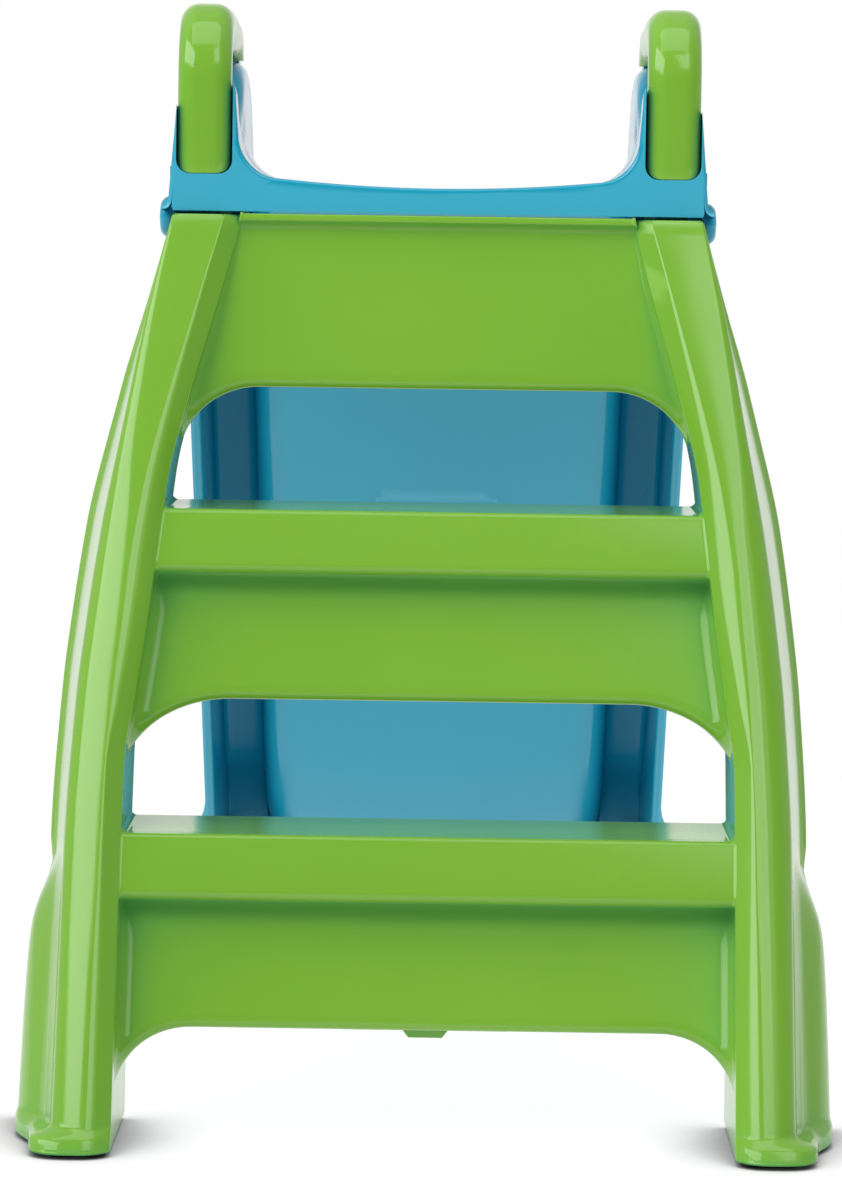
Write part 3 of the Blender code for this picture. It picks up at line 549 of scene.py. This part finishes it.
def catch_bracket():
    """A small ear behind the bottom riser that carries the catch's pin."""
    radius = 0.0055
    low = CATCH_Z - 0.0045
    high = CATCH_Z + radius
    outline = [(front_y(low) + RISER_DEPTH + 0.0015, low), (CATCH_Y + radius, low)]
    outline += arc((CATCH_Y, CATCH_Z), radius, 0, 90, 10)
    outline.append((front_y(high) + RISER_DEPTH + 0.0015, high))
    plate = prism("catch_bracket", outline, CATCH_HALF + 0.002, WALL, axis="X")
    return drill(plate, "pin_hole", CATCH_PIN_HOLE, 0.03, 0.06, CATCH_Y, CATCH_Z)


def ladder():
    right = combine(rail(), hinge_lug(), "UNION")
    lower = step("ladder_step_lower", LOWER_TREAD, LOWER_ARCH)
    for bracket in with_mirror(catch_bracket):
        combine(lower, bracket, "UNION")
    parts = [right, mirrored(right, "ladder_rail_left"), lower]
    parts.append(step("ladder_step_upper", UPPER_TREAD, UPPER_ARCH))
    parts.append(top_panel())
    for part in parts:
        soften(part)
    return parts


# ------------------------------ chute

def chute_section(y, inset=0.0):
    """Top and outside of the chute at y as (x, z), from the middle of the floor to the flange's edge."""
    low = floor_z(y) + FLOOR_EDGE_RISE
    rim = rim_z(y)
    flange = flange_z(y)
    half = flange_half(y)
    radius = min(FILLET, (rim - low) * 0.6)
    rim_centre = (RIM_INNER + WALL_OUTER_TOP) / 2
    rim_radius = (WALL_OUTER_TOP - RIM_INNER) / 2
    rim_drop = min(rim_radius, (rim - low - radius) * 0.8)
    points = []
    for i in range(9):
        share = i / 9
        points.append(((WALL_INNER - radius) * share, floor_z(y) + FLOOR_EDGE_RISE * share ** 2))
    points += arc((WALL_INNER - radius, low + radius), radius, -90, 0, 10)
    for i in range(19):
        turn = radians(180 - 10 * i)
        across = abs(cos(turn)) ** RIM_SQUARE * (1 if i < 9 else -1)
        points.append((rim_centre - rim_radius * across, rim - rim_drop * (1 - sin(turn) ** RIM_SQUARE)))
    wall_top = Vector(points[-1])
    for i in range(1, 5):
        points.append(tuple(wall_top.lerp(Vector((SKIRT_HALF, flange + 0.006)), i / 5)))
    points += arc((SKIRT_HALF + 0.0035, flange + 0.0062), 0.0035, 180, 270, 4)
    points.append((max(half, SKIRT_HALF + 0.0036), flange + WALL * 0.9))
    return shrunk(points, inset) if inset else points


def shrunk(points, inset):
    """An open outline moved towards its right-hand side, which is the chute's inside."""
    moved = []
    last = len(points) - 1
    for i, (x, z) in enumerate(points):
        along = (Vector(points[min(i + 1, last)]) - Vector(points[max(i - 1, 0)])).normalized()
        moved.append((max(x + along.y * inset, 0.0), z - along.x * inset))
    return moved


def chute_shell():
    edge = 0.0022
    rows = []
    for turn in (0, 25, 50, 75):
        inset = edge * (1 - sin(radians(turn)))
        y = edge * (1 - cos(radians(turn)))
        rows.append([(x, y, z) for x, z in whole_width(chute_section(0.0, inset))])
    stations = [edge + (0.30 - edge) * i / 40 for i in range(41)]
    stations += [0.30 + (CHUTE_REACH - 0.30) * i / 62 for i in range(1, 63)]
    for y in stations:
        rows.append([(x, y, z) for x, z in whole_width(chute_section(y))])
    return thicken(tidy(sheet_object("chute_shell", rows), (0, 0, 1)))


def end_plate(name, y, bottom, start, inset):
    """A wall that closes the section at y down to its bottom edge."""
    half = shrunk(chute_section(y)[:-6], inset)
    half += [(SKIRT_HALF - inset, bottom + 0.002), (SKIRT_HALF - 0.002 - inset / 2, bottom)]
    return prism(name, whole_width(half), start, WALL)


def leg_outline(inner_room, room):
    """The handle's near leg seen from the rear, round at the bottom, with room left round it."""
    inner = HANDLE_INNER - inner_room
    outer = HANDLE_OUTER + room
    low = LEG_END - room
    corner = 0.0078 + room
    outline = arc((inner + corner, low + corner), corner, 180, 270, 6)
    outline += arc((outer - corner, low + corner), corner, 270, 360, 6)
    return outline + [(outer, 0.70), (inner, 0.70)]


def ear(x_inner, x_outer, name):
    """A rounded ear that hangs from the side wall round the hinge axis."""
    outline = [(HINGE_Y + EAR_RADIUS, HINGE_Z + 0.030), (HINGE_Y - EAR_RADIUS, HINGE_Z + 0.030)]
    outline += arc((HINGE_Y, HINGE_Z), EAR_RADIUS, 180, 360, 20)
    return prism(name, outline, x_inner, x_outer - x_inner, axis="X")


def circle(radius, steps):
    """Offsets round a circle that never shrinks quite to a point."""
    radius = max(radius, 0.00002)
    turns = [2 * pi * i / steps for i in range(steps)]
    return [(radius * cos(turn), radius * sin(turn)) for turn in turns]


def turned(name, profile, y=HINGE_Y, z=HINGE_Z, steps=40):
    """A closed turned shape about an axis along X, from (radius, x) points."""
    rings = [[(x, y + u, z + v) for u, v in circle(radius, steps)] for radius, x in profile]
    return tube_object(name, rings)


def upright(name, profile, x, y, steps=32):
    """A closed turned shape about an upright axis, from (radius, z) points."""
    rings = [[(x + u, y + v, z) for u, v in circle(radius, steps)] for radius, z in profile]
    return tube_object(name, rings)


def drill(thing, name, radius, x_from, x_to, y=HINGE_Y, z=HINGE_Z):
    """Cut a hole along X."""
    profile = [(0.0, x_from), (radius, x_from), (radius, x_to), (0.0, x_to)]
    return combine(thing, turned(name, profile, y, z), "DIFFERENCE")


def ear_boss():
    """The low dome over the pin's end."""
    inside = SKIRT_HALF - 0.002
    outside = BOSS_HALF
    crown = 0.0065
    profile = [(0.0, inside), (EAR_RADIUS, inside)]
    profile += arc((crown, inside + 0.001), (EAR_RADIUS - crown, outside - inside - 0.0014), 0, 90, 8)
    profile += [(0.0035, outside), (0.0, outside)]
    return turned("boss", profile)


def block(name, low, high):
    outline = [(low[0], low[2]), (high[0], low[2]), (high[0], high[2]), (low[0], high[2])]
    return prism(name, outline, low[1], high[1] - low[1])


def far_leg_seat():
    """The block under the rim that the handle's far leg is screwed to."""
    screw_low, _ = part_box("handrail_screw_rear_right")
    return block("seat", (HANDLE_INNER + 0.0025, HANDLE_REACH - 0.031, screw_low.z + SCREW_HEAD + GAP),
                 (HANDLE_OUTER - 0.003, HANDLE_REACH + 0.001, SEAT_TOP))


def keeper():
    """The rib under the chute, which the folded ladder's catch comes near."""
    rear = KEEPER_Y + WALL
    return block("keeper", (-KEEPER_HALF, KEEPER_Y, floor_z(KEEPER_Y) - 0.018),
                 (KEEPER_HALF, rear, floor_z(rear) - WALL / 2))


def with_mirror(make):
    right = make()
    return right, mirrored(right, right.name + "_mirror")


def outer_ear():
    return ear(SKIRT_HALF - WALL, SKIRT_HALF - 0.0002, "outer_ear")


def inner_ear():
    return ear(WALL_INNER + 0.0001, WALL_INNER + WALL, "inner_ear")


def pocket():
    """Material round the handle's near leg, for the recess to be cut from."""
    return block("pocket", (WALL_INNER + 0.002, 0.004, LEG_END - 0.002),
                 (WALL_OUTER_TOP - 0.0015, 0.0333, 0.590))


def recess():
    return prism("recess", leg_outline(0.0012, GAP), -0.02, 0.0503)


def shelf():
    """The floor of the recess, which the near leg stands on."""
    top = LEG_END - GAP
    return block("shelf", (WALL_INNER + 0.001, 0.001, top - WALL), (SKIRT_HALF - 0.002, 0.032, top))


def chute():
    body = chute_shell()
    combine(body, end_plate("rear_lip", 0.0, LIP_BOTTOM, 0.0, 0.0022), "UNION")
    combine(body, end_plate("toe_wall", CHUTE_REACH, SOLE_Z, CHUTE_REACH - WALL, 0.0004), "UNION")
    for make, operation in ((outer_ear, "UNION"), (inner_ear, "UNION"), (ear_boss, "UNION"),
                            (pocket, "UNION"), (recess, "DIFFERENCE"), (shelf, "UNION"),
                            (far_leg_seat, "UNION")):
        for tool in with_mirror(make):
            combine(body, tool, operation)
    combine(body, keeper(), "UNION")
    drill(body, "pin_hole_right", PIN_HOLE, PIN_LOW.x - 0.007, PIN_HIGH.x + 0.0006)
    drill(body, "pin_hole_left", PIN_HOLE, -PIN_HIGH.x - 0.0006, 0.007 - PIN_LOW.x)
    return soften(body, 0.0007, 2)


# ------------------------------ handles

def handle_path():
    """Centre line of the handle as (y, z, half thickness), from the near leg to the far one."""
    leg = 0.015
    bar = 0.0125
    top = HANDLE_TOP - bar
    bend = 0.030
    bend_z = 0.600
    path = [(leg, LEG_END + (bend_z - LEG_END) * i / 8, leg) for i in range(8)]
    for i, (y, z) in enumerate(arc((leg + bend, bend_z), (bend, top - bend_z), 180, 90, 12)):
        path.append((y, z, leg + (bar - leg) * i / 12))
    path += [(0.060, top, bar), (0.085, top - 0.0005, bar), (0.105, top - 0.0015, bar),
             (0.125, top - 0.0030, bar), (0.145, top - 0.0042, bar)]
    far_centre = (HANDLE_REACH - leg - bend, 0.5995)
    far_rise = top - 0.0045 - far_centre[1]
    for i, (y, z) in enumerate(arc(far_centre, (bend, far_rise), 90, 0, 12)):
        path.append((y, z, bar + (leg - bar) * i / 12))
    return path


def handle():
    """The right-hand grab handle: a rounded bar swept along its arch."""
    path = handle_path()
    middle = (HANDLE_INNER + HANDLE_OUTER) / 2
    half = (HANDLE_OUTER - HANDLE_INNER) / 2
    corner = 0.0105
    rings = []
    for i, (y, z, thick) in enumerate(path):
        before = path[max(i - 1, 0)]
        after = path[min(i + 1, len(path) - 1)]
        along = Vector((after[0] - before[0], after[1] - before[1])).normalized()
        across = Vector((-along.y, along.x))
        ring = []
        centres = ((half - corner, thick - corner), (corner - half, thick - corner),
                   (corner - half, corner - thick), (half - corner, corner - thick))
        for quarter, centre in enumerate(centres):
            for u, v in arc(centre, corner, 90 * quarter, 90 * quarter + 90, 8):
                crown = 1 - 0.03 * (v / thick) ** 2
                ring.append((middle + u * crown, y + across.x * v, z + across.y * v))
        rings.append(ring)
    bar = tube_object("handrail_grip_right", rings)
    combine(bar, prism("leg_trim", leg_outline(0.0, 0.0), -0.02, 0.30), "INTERSECT")
    combine(bar, block("seat_trim", (0.10, 0.10, 0.55), (0.17, 0.25, SEAT_TOP + GAP)), "DIFFERENCE")
    return soften(bar, 0.0008, 2)


def handle_screw(node_name, drop=0.0):
    """A pan-head screw with a cross recess, its head up against the moulding over it."""
    low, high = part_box(node_name)
    x = (low.x + high.x) / 2
    y = (low.y + high.y) / 2 - LIP_Y
    head = (high.x - low.x) / 2
    shank = head / 2
    seat = low.z + SCREW_HEAD - drop
    tip = high.z - drop
    profile = [(0.0, tip), (shank * 0.3, tip), (shank, tip - 0.003)]
    z = tip - 0.004
    while z > seat + 0.003:
        profile += [(shank, z), (shank * 0.78, z - 0.0004), (shank, z - 0.0008)]
        z -= 0.0012
    profile += [(shank, seat), (head - 0.0002, seat), (head, seat - 0.0003)]
    profile += arc((0.0, seat - 0.0003), (head, 0.0003 - SCREW_HEAD), 0, 90, 6)[1:]
    made = upright(node_name + "_body", profile, x, y)
    for half_x, half_y in ((head * 0.5, 0.0004), (0.0004, head * 0.5)):
        slit = block("slit", (x - half_x, y - half_y, seat - SCREW_HEAD - 0.001),
                     (x + half_x, y + half_y, seat - SCREW_HEAD * 0.4))
        combine(made, slit, "DIFFERENCE")
    return soften(made, 0.0001, 1, 30)


# ------------------------------ catch

def catch_lever():
    """The sprung catch: a barrel on its pin, a plate on a neck, a finger lug and a hook."""
    low = CATCH_Z - 0.0091
    thick = 0.0022
    front = CATCH_Y - 0.0105
    rear = CATCH_HIGH.y - LIP_Y
    barrel = [(0.0, CATCH_HALF), (0.0036, CATCH_HALF), (0.0042, CATCH_HALF - 0.0006)]
    profile = [(radius, -x) for radius, x in barrel] + barrel[::-1]
    body = turned("catch_lever_body", profile, CATCH_Y, CATCH_Z)
    wide = CATCH_HALF - 0.0004
    edge = arc((front + thick / 2, low + thick / 2), thick / 2, 90, 270, 8)
    edge += arc((rear - thick / 2, low + thick / 2), thick / 2, 270, 450, 8)
    hook = [(rear - 0.004, low + 0.001), (rear - 0.0002, low + 0.001), (rear - 0.0002, low + 0.0078),
            (rear - 0.0014, low + 0.0090), (rear - 0.004, low + 0.0080)]
    lug = [(-0.0135, low + 0.001), (0.0135, low + 0.001), (0.0095, low - 0.0040), (-0.0095, low - 0.0040)]
    for part in (block("neck", (0.0004 - wide, CATCH_Y - 0.003, low + 0.001),
                       (wide - 0.0004, CATCH_Y + 0.003, CATCH_Z)),
                 prism("plate", edge, -wide, 2 * wide, axis="X"),
                 prism("hook", hook, -0.020, 0.040, axis="X"),
                 prism("finger_lug", lug, CATCH_Y - 0.010, 0.012)):
        combine(body, part, "UNION")
    window = block("window", (-0.006, CATCH_Y - 0.006, low + thick + 0.0013),
                   (0.006, CATCH_Y + 0.006, CATCH_Z + 0.006))
    combine(body, window, "DIFFERENCE")
    drill(body, "bore", CATCH_PIN_HOLE, -0.06, 0.06, CATCH_Y, CATCH_Z)
    return soften(body, 0.0004, 2)


# ------------------------------ hardware

def ring_object(name, profile, y=HINGE_Y, z=HINGE_Z, steps=48):
    """A turned ring about an axis along X, from (radius, x) points that close on themselves."""
    points = [(x, y + u, z + v) for radius, x in profile + profile[:1] for u, v in circle(radius, steps)]
    return tidy(mesh_object(name, points, grid_faces(len(profile) + 1, steps, closed=True)))


def hinge_pin():
    """A steel pin with chamfered ends and a shallow groove next to the clip."""
    inner = PIN_LOW.x
    outer = PIN_HIGH.x
    radius = (PIN_HIGH.z - PIN_LOW.z) / 2
    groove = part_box("hinge_clip_right")[1].x + 0.0004
    profile = [(0.0, inner), (radius - 0.0008, inner), (radius - 0.0003, inner + 0.0004),
               (radius, inner + 0.0010), (radius, groove), (radius - 0.0004, groove + 0.0002),
               (radius - 0.0004, groove + 0.0008), (radius, groove + 0.0010),
               (radius, outer - 0.0010), (radius - 0.0003, outer - 0.0004),
               (radius - 0.0008, outer), (0.0, outer)]
    return soften(turned("hinge_pin_right_body", profile), 0.0001, 1)


def hinge_bush():
    """A flanged nylon sleeve with eased edges."""
    low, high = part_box("hinge_bush_right")
    flange = (high.z - low.z) / 2
    barrel = BUSH_HOLE - GAP
    face = LUG_INNER - GAP
    ease = 0.0006
    profile = [(PIN_HOLE + 0.0004, high.x), (barrel - 0.0005, high.x), (barrel, high.x - ease),
               (barrel, face), (flange - ease, face), (flange, face - ease), (flange, low.x + ease),
               (flange - ease, low.x), (PIN_HOLE + 0.0004, low.x), (PIN_HOLE, low.x + 0.0004),
               (PIN_HOLE, high.x - 0.0004)]
    return soften(ring_object("hinge_bush_right_body", profile), 0.0001, 1)


def hinge_clip():
    """A push-on clip: a dished ring with slots cut into its bore."""
    low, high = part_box("hinge_clip_right")
    rim = (high.z - low.z) / 2
    profile = [(PIN_HOLE, high.x), (rim - 0.0009, high.x), (rim, high.x - 0.0006),
               (rim, high.x - 0.0012), (rim - 0.0022, low.x + 0.0004), (rim - 0.0027, low.x),
               (PIN_HOLE, low.x)]
    clip = ring_object("hinge_clip_right_body", profile)
    reach = rim - 0.002
    outline = [(-reach, -0.0005), (reach, -0.0005), (reach, 0.0005), (-reach, 0.0005)]
    for turn in (0, 60, 120):
        slit = prism("slit", outline, low.x - 0.001, high.x - low.x + 0.002, axis="X")
        slit.data.transform(Matrix.Translation((0, HINGE_Y + LIP_Y, HINGE_Z))
                            @ Matrix.Rotation(radians(turn), 4, "X") @ Matrix.Translation((0, -LIP_Y, 0)))
        combine(clip, slit, "DIFFERENCE")
    return soften(clip, 0.0001, 1)


def catch_pin():
    """A thin steel pin with domed ends."""
    half = CATCH_PIN_HIGH.x
    radius = (CATCH_PIN_HIGH.z - CATCH_PIN_LOW.z) / 2
    dome = [(r, x) for x, r in arc((half - radius, 0.0), radius, 0, 90, 6)]
    profile = [(r, -x) for r, x in dome] + dome[::-1]
    return soften(turned("catch_pin_body", profile, CATCH_Y, CATCH_Z, 24), 0.0001, 1)


def foot_pad(node_name, ahead=0.0):
    """A rubber pad with rounded corners and a grooved underside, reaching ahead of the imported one."""
    low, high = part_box(node_name)
    front = low.y - LIP_Y - ahead
    rear = high.y - LIP_Y
    corner = 0.006
    centres = [(high.x - corner, rear - corner), (low.x + corner, rear - corner),
               (low.x + corner, front + corner), (high.x - corner, front + corner)]
    rings = []
    for z, inset in ((low.z, 0.0005), (low.z + 0.0005, 0.0), (high.z - 0.0003, 0.0), (high.z, 0.0003)):
        ring = []
        for quarter, centre in enumerate(centres):
            ring += arc(centre, corner - inset, 90 * quarter, 90 * quarter + 90, 6)
        rings.append([(x, y, z) for x, y in ring])
    pad = tube_object(node_name + "_body", rings)
    grooves = round((rear - front) / 0.009) - 1
    for i in range(grooves):
        y = front + (rear - front) * (i + 1) / (grooves + 1)
        groove = block("groove", (low.x - 0.001, y - 0.0007, low.z - 0.001),
                       (high.x + 0.001, y + 0.0007, low.z + 0.0008))
        combine(pad, groove, "DIFFERENCE")
    return soften(pad, 0.0002, 2)


# ------------------------------ materials

def node(tree, kind, inputs=None, **settings):
    """A new shader node whose inputs are linked to another node's socket or given a value."""
    made = tree.nodes.new("ShaderNode" + kind)
    for name, value in settings.items():
        setattr(made, name, value)
    for name, value in (inputs or {}).items():
        feed(tree, made, name, value)
    return made


def feed(tree, made, name, value):
    if isinstance(value, bpy.types.NodeSocket):
        tree.links.new(value, made.inputs[name])
    else:
        made.inputs[name].default_value = value


def ramp(tree, source, stops):
    """The colour output of a ramp with (place, grey or colour) stops."""
    made = node(tree, "ValToRGB", {"Fac": source})
    while len(made.color_ramp.elements) < len(stops):
        made.color_ramp.elements.new(0.5)
    for element, (place, colour) in zip(made.color_ramp.elements, stops):
        element.position = place
        element.color = (*colour, 1.0) if isinstance(colour, tuple) else (colour, colour, colour, 1.0)
    return made.outputs["Color"]


def noise(tree, where, scale, detail):
    inputs = {"Vector": where, "Scale": scale, "Detail": detail}
    return node(tree, "TexNoise", inputs).outputs["Fac"]


def mixed(tree, factor, first, second):
    """The colour output of a mix between a socket and a fixed colour."""
    inputs = {"Factor": factor, 6: first, 7: (*second, 1.0)}
    return node(tree, "Mix", inputs, data_type="RGBA").outputs[2]


def bump(tree, height, strength, distance, under=None):
    """The normal output of a bump, which may lie over another one."""
    inputs = {"Height": height, "Strength": strength, "Distance": distance}
    if under:
        inputs["Normal"] = under
    return node(tree, "Bump", inputs).outputs["Normal"]


def occlusion(tree, distance, samples):
    return node(tree, "AmbientOcclusion", {"Distance": distance}, samples=samples).outputs["AO"]


def new_material(name):
    """A material with its node tree, its shader and the object's own coordinates."""
    material = bpy.data.materials.new(name)
    material.use_nodes = True
    tree = material.node_tree
    place = node(tree, "TexCoord").outputs["Object"]
    return material, tree, tree.nodes["Principled BSDF"], place


def moulded_plastic(name, colour, deep, edge_colour, painted_crevice_shade, roughness=0.13):
    """Glossy moulded plastic: flow mottling, orange peel, fine scuffs, paler edges, and painted shade
    darkening its crevices.
    """
    material, tree, shader, place = new_material(name)

    body = ramp(tree, noise(tree, place, 5.0, 3.0), [(0.35, deep), (0.62, colour)])
    # Sharp convex edges, found by pointiness, are mixed towards a paler colour.
    corners = node(tree, "NewGeometry").outputs["Pointiness"]
    edge_paled = mixed(tree, ramp(tree, corners, [(0.520, 0.0), (0.580, 0.55)]), body, edge_colour)
    # Painted shade: ambient occlusion mixes the colour towards a darker shade colour in corners, creases
    # and recesses, and turns the specular down there too.
    hollow = occlusion(tree, 0.06, 6)
    shade = mixed(tree, ramp(tree, hollow, [(0.25, 1.0), (0.85, 0.0)]), edge_paled, painted_crevice_shade)
    feed(tree, shader, "Base Color", shade)
    feed(tree, shader, "Specular IOR Level", ramp(tree, hollow, [(0.40, 0.05), (0.90, 0.50)]))
    feed(tree, shader, "IOR", 1.5)

    stretch = node(tree, "Mapping", {"Vector": place, "Scale": (1.0, 1.0, 0.12)})
    scuffs = noise(tree, stretch.outputs["Vector"], 420.0, 2.0)
    patches = noise(tree, place, 11.0, 2.0)
    scuffed = node(tree, "Math", {0: scuffs, 1: patches}, operation="MULTIPLY")
    gloss = node(tree, "MapRange", {"Value": scuffed.outputs["Value"],
                                              "From Min": 0.15, "From Max": 0.45,
                                              "To Min": roughness - 0.03, "To Max": roughness + 0.05})
    feed(tree, shader, "Roughness", gloss.outputs["Result"])

    fine = bump(tree, noise(tree, place, 260.0, 2.0), 0.022, 0.0005)
    feed(tree, shader, "Normal", bump(tree, noise(tree, place, 22.0, 1.0), 0.035, 0.002, fine))
    return material


def plated_steel(name):
    """Zinc-plated steel with fine turning marks and a slightly mottled finish."""
    material, tree, shader, place = new_material(name)
    shades = [(0.3, (0.50, 0.51, 0.53)), (0.7, (0.72, 0.72, 0.70))]
    feed(tree, shader, "Base Color", ramp(tree, noise(tree, place, 240.0, 2.0), shades))
    marks = noise(tree, place, 1800.0, 2.0)
    feed(tree, shader, "Roughness", ramp(tree, marks, [(0.3, 0.24), (0.7, 0.42)]))
    feed(tree, shader, "Normal", bump(tree, marks, 0.15, 0.0002))
    feed(tree, shader, "Metallic", 1.0)
    return material


def matt_material(name, colour, deep, roughness, grain):
    """A matt or satin moulding with a fine grain."""
    material, tree, shader, place = new_material(name)
    mottle = noise(tree, place, 60.0, 3.0)
    feed(tree, shader, "Base Color", ramp(tree, mottle, [(0.3, deep), (0.7, colour)]))
    grains = noise(tree, place, grain, 2.0)
    feed(tree, shader, "Roughness", ramp(tree, grains, [(0.3, roughness - 0.08), (0.7, roughness + 0.08)]))
    feed(tree, shader, "Normal", bump(tree, grains, 0.3, 0.0003))
    return material


def coat(thing, material):
    thing.data.materials.clear()
    thing.data.materials.append(material)


# ------------------------------ studio

def floor_material():
    """A pale matt floor round the slide with painted contact shadows near it, which fades into the white of
    the room further out.
    """
    material, tree, shader, place = new_material("studio_floor")
    feed(tree, shader, "Base Color", ramp(tree, noise(tree, place, 3.0, 2.0), [(0.3, 0.075), (0.7, 0.085)]))
    feed(tree, shader, "Roughness", 0.6)
    feed(tree, shader, "Specular IOR Level", 0.1)
    # Painted contact shadow: ambient occlusion darkens the floor's glow close to the feet and the chute.
    painted_contact_shadow = ramp(tree, occlusion(tree, 0.058, 12), [(0.2, 0.02), (0.5, 0.30), (0.75, 0.78), (0.95, 1.0)])
    feed(tree, shader, "Emission Color", painted_contact_shadow)
    feed(tree, shader, "Emission Strength", 0.95)
    away = node(tree, "VectorMath", {0: place}, operation="LENGTH").outputs["Value"]
    fade = node(tree, "MapRange", {"Value": away, "From Min": 0.70, "From Max": 1.50},
                interpolation_type="SMOOTHSTEP")
    glow = node(tree, "Emission")
    blend = node(tree, "MixShader", {0: fade.outputs["Result"], 1: shader.outputs["BSDF"],
                                               2: glow.outputs["Emission"]})
    feed(tree, tree.nodes["Material Output"], "Surface", blend.outputs["Shader"])
    return material


def studio_floor():
    half = 14.0
    steps = 8
    rows = []
    for r in range(steps + 1):
        y = -half + 2 * half * r / steps
        rows.append([(-half + 2 * half * c / steps, y - LIP_Y, 0.0) for c in range(steps + 1)])
    thing = sheet_object("studio_floor", rows)
    coat(thing, floor_material())


def panel_light(name, place, size, energy, target=(0.0, 0.0, 0.3)):
    data = bpy.data.lights.new(name, "AREA")
    data.shape = "RECTANGLE"
    data.size = size[0]
    data.size_y = size[1]
    data.energy = energy
    light = bpy.data.objects.new(name, data)
    light.location = place
    light.rotation_euler = (Vector(target) - Vector(place)).to_track_quat("-Z", "Y").to_euler()
    light.visible_camera = False
    bpy.context.scene.collection.objects.link(light)


def round_the_slide(azimuth, rise, distance):
    """A place seen from the slide, azimuth degrees right of the camera's line and rise degrees up."""
    turn = radians(azimuth)
    up = radians(rise)
    return (distance * sin(turn) * cos(up), -0.35 - distance * cos(turn) * cos(up),
            0.3 + distance * sin(up))


def studio_lights():
    """Tall soft panels beside the camera, with a wide one overhead."""
    for name, azimuth, rise, size, energy in (("softbox_left", -55, 34, (5.8, 2.3), 180.0),
                                              ("softbox_right_near", 24, 39, (2.3, 1.95), 40.0),
                                              ("softbox_right_mid", 45, 36, (1.6, 1.95), 8.8)):
        panel_light(name, round_the_slide(azimuth, rise, 5.0), size, energy)
    panel_light("top_panel", (0.0, -0.8, 2.6), (2.4, 1.6), 22.0)


def studio_world():
    """White to the camera, and to the plastic a pale room that is darker on the camera's side."""
    world = bpy.data.worlds.new("studio")
    bpy.context.scene.world = world
    world.use_nodes = True
    tree = world.node_tree
    tree.nodes.clear()
    place = node(tree, "TexCoord").outputs["Generated"]
    along = node(tree, "SeparateXYZ", {"Vector": place}).outputs["Y"]
    depth = node(tree, "MapRange", {"Value": along, "From Min": -1.0, "From Max": 1.0})
    room = ramp(tree, depth.outputs["Result"], [(0.0, (0.06, 0.09, 0.10)), (0.40, (0.10, 0.14, 0.15)),
                                                (0.62, 0.55), (0.90, 0.60), (0.97, 0.95)])
    seen = node(tree, "LightPath").outputs["Is Camera Ray"]
    choice = mixed(tree, seen, room, (1.0, 1.0, 1.0))
    background = node(tree, "Background", {"Color": choice})
    node(tree, "OutputWorld", {"Surface": background.outputs["Background"]})


def camera():
    data = bpy.data.cameras.new("camera")
    data.sensor_width = 36.0
    data.lens = CAMERA_LENS
    data.clip_start = 0.05
    data.clip_end = 60.0
    eye = bpy.data.objects.new("camera", data)
    bpy.context.scene.collection.objects.link(eye)
    eye.location = CAMERA_PLACE
    tilt = Matrix.Rotation(radians(90 - CAMERA_DOWN), 4, "X")
    roll = Matrix.Rotation(radians(CAMERA_ROLL), 4, "Z")
    swing = Matrix.Rotation(radians(CAMERA_SWING), 4, "Z")
    eye.rotation_euler = (swing @ tilt @ roll).to_euler()
    bpy.context.scene.camera = eye


# ------------------------------ the slide

def place_piece(thing, body, material, slot, *nodes):
    coat(thing, material)
    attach(thing, body)
    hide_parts(*nodes)


def place_pair(right, left_name, body, material, slot, node_name):
    """A piece for the right-hand node and its mirror image for the left-hand one."""
    left = mirrored(right, left_name)
    place_piece(right, body, material, slot, node_name + "_right")
    place_piece(left, body, material, slot, node_name + "_left")


def main():
    bpy.context.scene.view_settings.view_transform = "Standard"
    camera()
    studio_world()
    studio_lights()
    studio_floor()

    # The last colour given to each plastic is the painted shade for its crevices.
    green = moulded_plastic("green_plastic", (0.193, 0.430, 0.036), (0.181, 0.412, 0.034),
                            (0.29, 0.55, 0.10), (0.140, 0.480, 0.130))
    blue = moulded_plastic("blue_plastic", (0.012, 0.325, 0.475), (0.010, 0.310, 0.455),
                           (0.08, 0.45, 0.60), (0.001, 0.160, 0.310))
    steel = plated_steel("plated_steel")
    nylon = matt_material("white_nylon", (0.80, 0.80, 0.76), (0.74, 0.74, 0.69), 0.45, 500.0)
    rubber = matt_material("dark_rubber", (0.035, 0.035, 0.035), (0.020, 0.020, 0.020), 0.80, 900.0)

    for part in ladder():
        place_piece(part, "ladder", green, "green_plastic", "ladder_frame")
    place_piece(chute(), "slide", blue, "blue_plastic", "slide_chute")
    place_pair(handle(), "handrail_grip_left", "slide", green, "green_plastic", "handrail")
    place_piece(catch_lever(), "catch", green, "green_plastic", "storage_catch")
    for side in ("left", "right"):
        for end, drop in (("front", LEG_DROP), ("rear", 0.0)):
            name = "handrail_screw_" + end + "_" + side
            place_piece(handle_screw(name, drop), "slide", steel, "steel", name)

    place_pair(hinge_pin(), "hinge_pin_left_body", "slide", steel, "steel", "hinge_pin")
    place_pair(hinge_clip(), "hinge_clip_left_body", "slide", steel, "steel", "hinge_clip")
    place_pair(hinge_bush(), "hinge_bush_left_body", "ladder", nylon, "nylon", "hinge_bush")
    place_piece(catch_pin(), "ladder", steel, "steel", "catch_pin")
    for side in ("left", "right"):
        name = "ladder_pad_" + side
        place_piece(foot_pad(name, FOOT_OUT), "ladder", rubber, "rubber", name)
        name = "chute_pad_" + side
        place_piece(foot_pad(name), "slide", rubber, "rubber", name)
    coat(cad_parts["catch_spring"], steel)


main()
